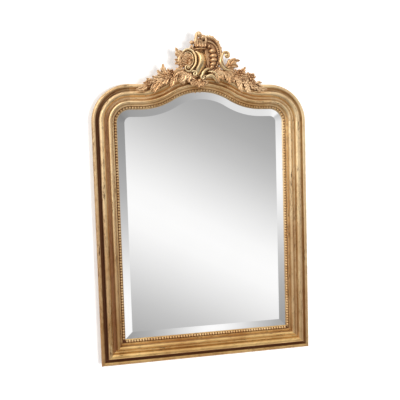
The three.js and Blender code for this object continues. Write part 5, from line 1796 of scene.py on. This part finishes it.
@dataclass
class BackWork:
    """Pine and iron behind the frame, kept from the solids and given their finishes."""

    palette: Palette
    key_nodes: tuple[str, ...] = (
        "left_mitre_key", "right_mitre_key", "left_stile_key", "right_stile_key", "left_shoulder_key",
        "right_shoulder_key",
    )
    wood_nodes: tuple[str, ...] = (
        "glazing_block_1", "glazing_block_2", "glazing_block_3", "glazing_block_4",
        "glazing_block_5", "glazing_block_6", "crest_dowel_1", "crest_dowel_2", "crest_core",
    )
    board_nodes: tuple[str, ...] = ("back_board_1", "back_board_2", "back_board_3", "back_board_4")
    iron_nodes: tuple[str, ...] = ("left_hanger_plate", "right_hanger_plate", "crest_stay",
                                   "left_hanging_ring", "right_hanging_ring")
    board_edges: tuple[float, ...] = (78.0, 343.7, 609.5, 875.2, 1140.9)
    nail_across: float = 362.0
    nail_shares: Triple = (0.18, 0.82, 0.45)
    plate_across: float = 411.0
    plate_back: float = 8.0
    plate_screws: tuple[Pair, ...] = ((-12.0, 919.0), (12.0, 919.0), (0.0, 937.0))
    stay_middle: float = 1218.9
    stay_screws: tuple[float, ...] = (-45.0, -20.0, 20.0, 45.0)
    slot_width: float = 0.16

    def dress(self, names: Sequence[str], material: Material) -> None:
        """Gives kept solids a material.

        Args:
            names: Solids.
            material: Their material.
        """
        for name in names:
            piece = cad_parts[name]
            piece.data.materials.clear()
            piece.data.materials.append(material)

    def head(self, solid: Solid, x: float, z: float, radius: float, level: float, rise: float,
             slotted: bool) -> None:
        """Adds the head of a nail or screw that faces the wall.

        Args:
            solid: What it is added to.
            x: Middle, across.
            z: Middle, up.
            radius: Radius of the head.
            level: Height of the surface that it sits in.
            rise: How far it stands proud of that surface.
            slotted: True for a screw with its slot.
        """
        sectors, rings = 32, 9
        angle = np.linspace(0.0, TAU, sectors, endpoint=False)
        edge = np.column_stack([x + radius * np.cos(angle), z + radius * np.sin(angle)])
        share = np.linspace(0.0, 1.0, rings)[:, None]
        proud = rise * np.sqrt(np.maximum(0.0, 1.0 - 0.9 * share ** 2)) + 0.0 * angle[None, :]
        if slotted:
            turn = 0.7 * x + 0.3 * z
            away = np.abs(share * np.sin(angle[None, :] - turn))
            proud = np.where(away < self.slot_width, rise * 0.25, proud)
        solid.dome((x, z), edge, level - proud, foot=level + 0.6)

    def fastenings(self) -> None:
        """Nails of the boards, screws of the hanging plates and of the crest stay."""
        nails = Solid()
        first, second, under_arch = self.nail_shares
        for low, high in zip(self.board_edges[:-1], self.board_edges[1:]):
            upper = under_arch if high == self.board_edges[-1] else second
            for z in (low + (high - low) * first, low + (high - low) * upper):
                for x in (-self.nail_across, self.nail_across):
                    self.head(nails, x, z, 3.0, 0.0, 0.3, False)
        PieceMaker.build("board_nails", nails, Slot.IRON, self.palette.iron, crease=50.0)
        screws = Solid()
        for side in (-1.0, 1.0):
            for dx, z in self.plate_screws:
                self.head(screws, side * self.plate_across + dx, z, 4.2, self.plate_back, 0.9, True)
        for dz in self.stay_screws:
            self.head(screws, 0.0, self.stay_middle + dz, 3.6, 0.0, 0.35, True)
        PieceMaker.build("back_screws", screws, Slot.IRON, self.palette.iron, crease=50.0)

    def build(self) -> None:
        """Dresses the solids of the back and adds their fastenings."""
        self.dress(self.wood_nodes, self.palette.pine)
        self.dress(self.key_nodes, self.palette.key)
        self.dress(self.board_nodes[::2], self.palette.board)
        self.dress(self.board_nodes[1::2], self.palette.dark_board)
        self.dress(self.iron_nodes, self.palette.iron)
        self.fastenings()


# ---- Depth of the hollows


@dataclass
class HollowFinder:
    """Works out how deep each corner lies among its neighbours, for the painted shade in the hollows."""

    reach: float = 0.014
    rays: int = 20
    lift: float = 0.0006
    falloff: float = 0.6
    gain: float = 1.5
    least_given: float = 0.05

    def directions(self) -> list[Vector]:
        """Even directions over a half sphere about +Z.

        Returns:
            The directions.
        """
        golden = math.pi * (3.0 - math.sqrt(5.0))
        found = []
        for i in range(self.rays):
            up = 0.12 + 0.88 * (i + 0.5) / self.rays
            level = math.sqrt(1.0 - up * up)
            found.append(Vector((level * math.cos(golden * i), level * math.sin(golden * i), up)))
        return found

    def depths(self, mesh: bpy.types.Mesh, tree: BVHTree, rays: Sequence[Vector]) -> np.ndarray:
        """Depth of each corner, from how many rays its neighbours stop.

        Args:
            mesh: The mesh.
            tree: Every made piece.
            rays: Directions about +Z.

        Returns:
            A share from 0 in the open to 1 in a deep hollow.
        """
        values = np.zeros(len(mesh.vertices), dtype=np.float32)
        for i, vertex in enumerate(mesh.vertices):
            turn = vertex.normal.to_track_quat("Z", "Y")
            start = vertex.co + vertex.normal * self.lift
            hits = 0.0
            for ray in rays:
                place, _, _, distance = tree.ray_cast(start, turn @ ray, self.reach)
                if place is not None:
                    hits += 1.0 - self.falloff * distance / self.reach
            values[i] = hits / len(rays)
        return values * self.gain

    def build(self) -> None:
        """Stores the depth on every made piece, found here or given with its grain."""
        verts: list[Vector] = []
        faces: list[list[int]] = []
        for piece in PieceMaker.made:
            base = len(verts)
            verts.extend(v.co.copy() for v in piece.data.vertices)
            faces.extend([base + i for i in f.vertices] for f in piece.data.polygons)
        tree = BVHTree.FromPolygons(verts, faces, all_triangles=False)
        rays = self.directions()
        for piece in PieceMaker.made:
            mesh = piece.data
            store = mesh.attributes.new("recess", "FLOAT", "POINT")
            grain = np.zeros(len(mesh.vertices) * 3, dtype=np.float32)
            mesh.attributes["grain"].data.foreach_get("vector", grain)
            given = grain.reshape(-1, 3)[:, 2]
            values = given if given.max() > self.least_given else self.depths(mesh, tree, rays)
            store.data.foreach_set("value", np.clip(values, 0.0, 1.0).astype(np.float32))
        LOG.info("hollows found on %d pieces", len(PieceMaker.made))


# ---- Camera, wall, floor and light


@dataclass(frozen=True)
class ViewingPoint:
    """Where the photograph was taken from."""

    place: Triple = (-0.3419, -1.8852, 0.7793)
    yaw: float = -0.171967641
    pitch: float = 0.058284718
    roll: float = -0.0294513043
    lens: float = 40.5
    sensor: float = 36.0
    far: float = 60.0

    def build(self) -> bpy.types.Object:
        """Makes the camera.

        Returns:
            The camera object.
        """
        cy, sy = math.cos(self.yaw), math.sin(self.yaw)
        cp, sp = math.cos(self.pitch), math.sin(self.pitch)
        cr, sr = math.cos(self.roll), math.sin(self.roll)
        base = Matrix(((1, 0, 0), (0, 0, -1), (0, 1, 0)))
        turn = Matrix(((cr, -sr, 0), (sr, cr, 0), (0, 0, 1))) @ Matrix(((1, 0, 0), (0, cp, -sp), (0, sp, cp)))
        full = turn @ base @ Matrix(((cy, sy, 0), (-sy, cy, 0), (0, 0, 1)))
        data = bpy.data.cameras.new("viewing_point")
        data.lens = self.lens
        data.sensor_width = self.sensor
        data.sensor_fit = "HORIZONTAL"
        data.clip_end = self.far
        camera = bpy.data.objects.new("viewing_point", data)
        bpy.context.scene.collection.objects.link(camera)
        rows = (full[0], -full[1], -full[2])
        place = Vector(self.place) + Vector((0.0, EDGE.back * MM, 0.0))
        camera.matrix_world = Matrix.Translation(place) @ Matrix((rows[0], rows[1],
                                                                  rows[2])).transposed().to_4x4()
        bpy.context.scene.camera = camera
        return camera


@dataclass(frozen=True)
class Lamp:
    """A soft rectangular lamp, in metres and watts."""

    name: str
    place: Triple
    target: Triple
    size: Pair
    power: float
    mirrored: bool = True

    def build(self) -> None:
        """Hangs the lamp, hidden from shining surfaces unless it is mirrored."""
        data = bpy.data.lights.new(self.name, "AREA")
        data.shape = "RECTANGLE"
        data.size, data.size_y = self.size
        data.energy = self.power
        lamp = bpy.data.objects.new(self.name, data)
        lamp.location = self.place
        lamp.visible_glossy = self.mirrored
        aim = Vector(self.target) - Vector(self.place)
        lamp.rotation_euler = aim.to_track_quat("-Z", "Y").to_euler()
        bpy.context.scene.collection.objects.link(lamp)


@dataclass(frozen=True)
class Room:
    """The world: white to the eye, even on dull surfaces, and a softly lit room in what shines."""

    ambient: float = 0.55
    wall_light: float = 2.2
    band_offset: tuple[Pair, ...] = (
        (-0.14, 0.58), (-0.1, 0.575), (-0.03, 0.1), (0.0, 0.1), (0.355, 0.448), (0.42, 0.0), (0.5, 0.0))
    band_fall: tuple[Pair, ...] = (
        (0.0, 1.0), (0.08, 0.975), (0.16, 0.89), (0.24, 0.79), (0.32, 0.68), (0.4, 0.575), (0.46, 0.515),
        (0.52, 0.455), (0.69, 0.35), (0.85, 0.28), (1.0, 0.24))
    light_by_height: tuple[Pair, ...] = (
        (-1.0, 0.08), (-0.6, 0.13), (-0.35, 0.21), (-0.2, 0.34), (-0.05, 0.6), (0.08, 0.8), (0.3, 0.84),
        (0.6, 0.72), (1.0, 0.6))
    light_by_side: tuple[Pair, ...] = (
        (-1.0, 0.8), (-0.75, 0.96), (-0.5, 1.0), (-0.2, 0.8), (0.1, 0.72), (0.5, 0.66), (0.8, 0.52),
        (1.0, 0.42))

    def build(self) -> None:
        """Builds the world's nodes."""
        world = bpy.data.worlds.new("room")
        bpy.context.scene.world = world
        world.use_nodes = True
        n = Nodes(world.node_tree)
        free = partial(n.math, limited=False)
        output = n.new("ShaderNodeOutputWorld")
        shader = n.new("ShaderNodeBackground")
        n.join(shader.outputs["Background"], output.inputs["Surface"])
        dx, dy, dz = n.axes(n.new("ShaderNodeTexCoord").outputs["Generated"])
        ahead = free(Sum.MAXIMUM, free(Sum.ABSOLUTE, dy), 0.02)
        across = free(Sum.DIVIDE, dx, ahead)
        upward = free(Sum.DIVIDE, dz, ahead)
        # the band of light in the glass: where it lies, and how it falls off on both sides
        offset = n.curve(across, self.band_offset)
        main = free(Sum.ADD, free(Sum.MULTIPLY, upward, 1.863), offset)
        low = free(Sum.MULTIPLY, free(Sum.SUBTRACT, across, 0.208), 3.4)
        high = free(Sum.ADD, free(Sum.MULTIPLY, across, -1.49), 0.73)
        band = n.blend(n.ramp(upward, -0.44, -0.4, 1.0, 0.0), main, low)
        band = n.blend(n.ramp(upward, 0.21, 0.25), band, high)
        glass = n.curve(free(Sum.ABSOLUTE, band), self.band_fall)
        # beyond what the glass shows: a light wall on the left, a dimmer one on the right, a dark floor
        rise = n.curve(dz, self.light_by_height)
        turn = n.curve(dx, self.light_by_side)
        walls = free(Sum.MULTIPLY, free(Sum.MULTIPLY, rise, turn), self.wall_light)
        inside = n.ramp(across, -0.2, -0.15)
        for edge in (n.ramp(across, 0.66, 0.78, 1.0, 0.0), n.ramp(upward, -0.8, -0.7),
                     n.ramp(upward, 0.36, 0.44, 1.0, 0.0), n.ramp(dy, -0.1, 0.0, 1.0, 0.0)):
            inside = free(Sum.MULTIPLY, inside, edge)
        path = n.new("ShaderNodeLightPath")
        strength = n.blend(path.outputs["Is Glossy Ray"], self.ambient, n.blend(inside, walls, glass))
        strength = n.blend(path.outputs["Is Camera Ray"], strength, 1.0)
        shader.inputs["Color"].default_value = (1.0, 1.0, 1.0, 1.0)
        n.join(strength, shader.inputs["Strength"])


@dataclass
class Studio:
    """White wall and floor, and soft lamps."""

    wall_gap: float = 0.004
    floor_drop: float = 1.2
    floor_front: float = 0.7
    half_width: float = 6.0
    wall_top: float = 5.0
    white: float = 0.9
    glow: float = 0.24
    lamps: tuple[Lamp, ...] = (
        Lamp("low_lamp", (1.3, -3.9, 0.3), (0.0, 0.0, 0.7), (0.9, 0.9), 100.0, mirrored=False),
        Lamp("high_lamp", (-1.5, -1.6, 2.3), (0.0, 0.0, 0.9), (1.2, 1.2), 12.0),
        Lamp("back_lamp", (0.7, 3.4, 1.7), (0.0, 0.0, 0.7), (1.4, 1.4), 70.0, mirrored=False),
    )

    def pale(self, name: str, one_sided: bool = False) -> Material:
        """White paint that shows white to the eye and keeps the object's shadow.

        Args:
            name: Name of the material.
            one_sided: True for paint that is clear from behind and lets light through.

        Returns:
            The material.
        """
        n = MaterialNodes(name)
        n.shader.inputs["Roughness"].default_value = 0.9
        n.shader.inputs["Specular IOR Level"].default_value = 0.0
        n.shader.inputs["Base Color"].default_value = (self.white, self.white, self.white, 1.0)
        path = n.new("ShaderNodeLightPath")
        seen = n.math(Sum.MAXIMUM, path.outputs["Is Camera Ray"], path.outputs["Is Glossy Ray"])
        seen = n.math(Sum.MAXIMUM, seen, path.outputs["Is Transmission Ray"])
        n.shader.inputs["Emission Color"].default_value = (1.0, 1.0, 1.0, 1.0)
        n.join(n.math(Sum.MULTIPLY, seen, self.glow), n.shader.inputs["Emission Strength"])
        if one_sided:
            front = n.math(Sum.SUBTRACT, 1.0, n.new("ShaderNodeNewGeometry").outputs["Backfacing"])
            mixed = n.new("ShaderNodeMixShader")
            n.join(n.math(Sum.MULTIPLY, seen, front), mixed.inputs[0])
            n.join(n.new("ShaderNodeBsdfTransparent").outputs[0], mixed.inputs[1])
            n.join(n.shader.outputs["BSDF"], mixed.inputs[2])
            n.join(mixed.outputs[0], n.output.inputs["Surface"])
        return n.material

    def plane(self, name: str, corners: Sequence[Triple], material: Material) -> None:
        """A flat stage piece.

        Args:
            name: Its name.
            corners: Its corners in metres.
            material: Its material.
        """
        mesh = bpy.data.meshes.new(name)
        mesh.from_pydata([tuple(c) for c in corners], [], [tuple(range(len(corners)))])
        mesh.materials.append(material)
        piece = bpy.data.objects.new(name, mesh)
        bpy.context.scene.collection.objects.link(piece)

    def build(self) -> None:
        """Sets the wall, the floor and the lamps."""
        back, front = EDGE.back * MM + self.wall_gap, -self.floor_front
        low, high, side = -self.floor_drop, self.wall_top, self.half_width
        self.plane("studio_wall", [(-side, back, low), (side, back, low), (side, back, high),
                                   (-side, back, high)],
                   self.pale("one_sided_paint", one_sided=True))
        self.plane("studio_floor", [(-side, front, low), (side, front, low), (side, back, low),
                                    (-side, back, low)],
                   self.pale("white_paint"))
        for lamp in self.lamps:
            lamp.build()
        bpy.context.scene.view_settings.view_transform = "Standard"


class Stage(Enum):
    """Stages of the work, as they are reported."""

    FRAME = "moulded frame"
    PEARLS = "pearl strings"
    PLATE = "bevelled plate"
    CREST = "carved crest"
    BACK = "back work"
    HOLLOWS = "depth of hollows"


def main() -> None:
    """Builds the scene in order and reports each stage."""
    logging.basicConfig(level=logging.INFO, format="%(message)s")
    ViewingPoint().build()
    Studio().build()
    Room().build()
    palette = Palette()
    steps: dict[Stage, Callable[[], None]] = {
        Stage.FRAME: MouldedFrame(palette).build,
        Stage.PEARLS: PearlStrings(palette).build,
        Stage.PLATE: BevelledPlate(palette).build,
        Stage.CREST: Crest(palette).build,
        Stage.BACK: BackWork(palette).build,
        Stage.HOLLOWS: HollowFinder().build,
    }
    for stage, build in steps.items():
        LOG.info("building %s", stage.value)
        build()
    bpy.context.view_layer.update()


if __name__ == "__main__":
    main()
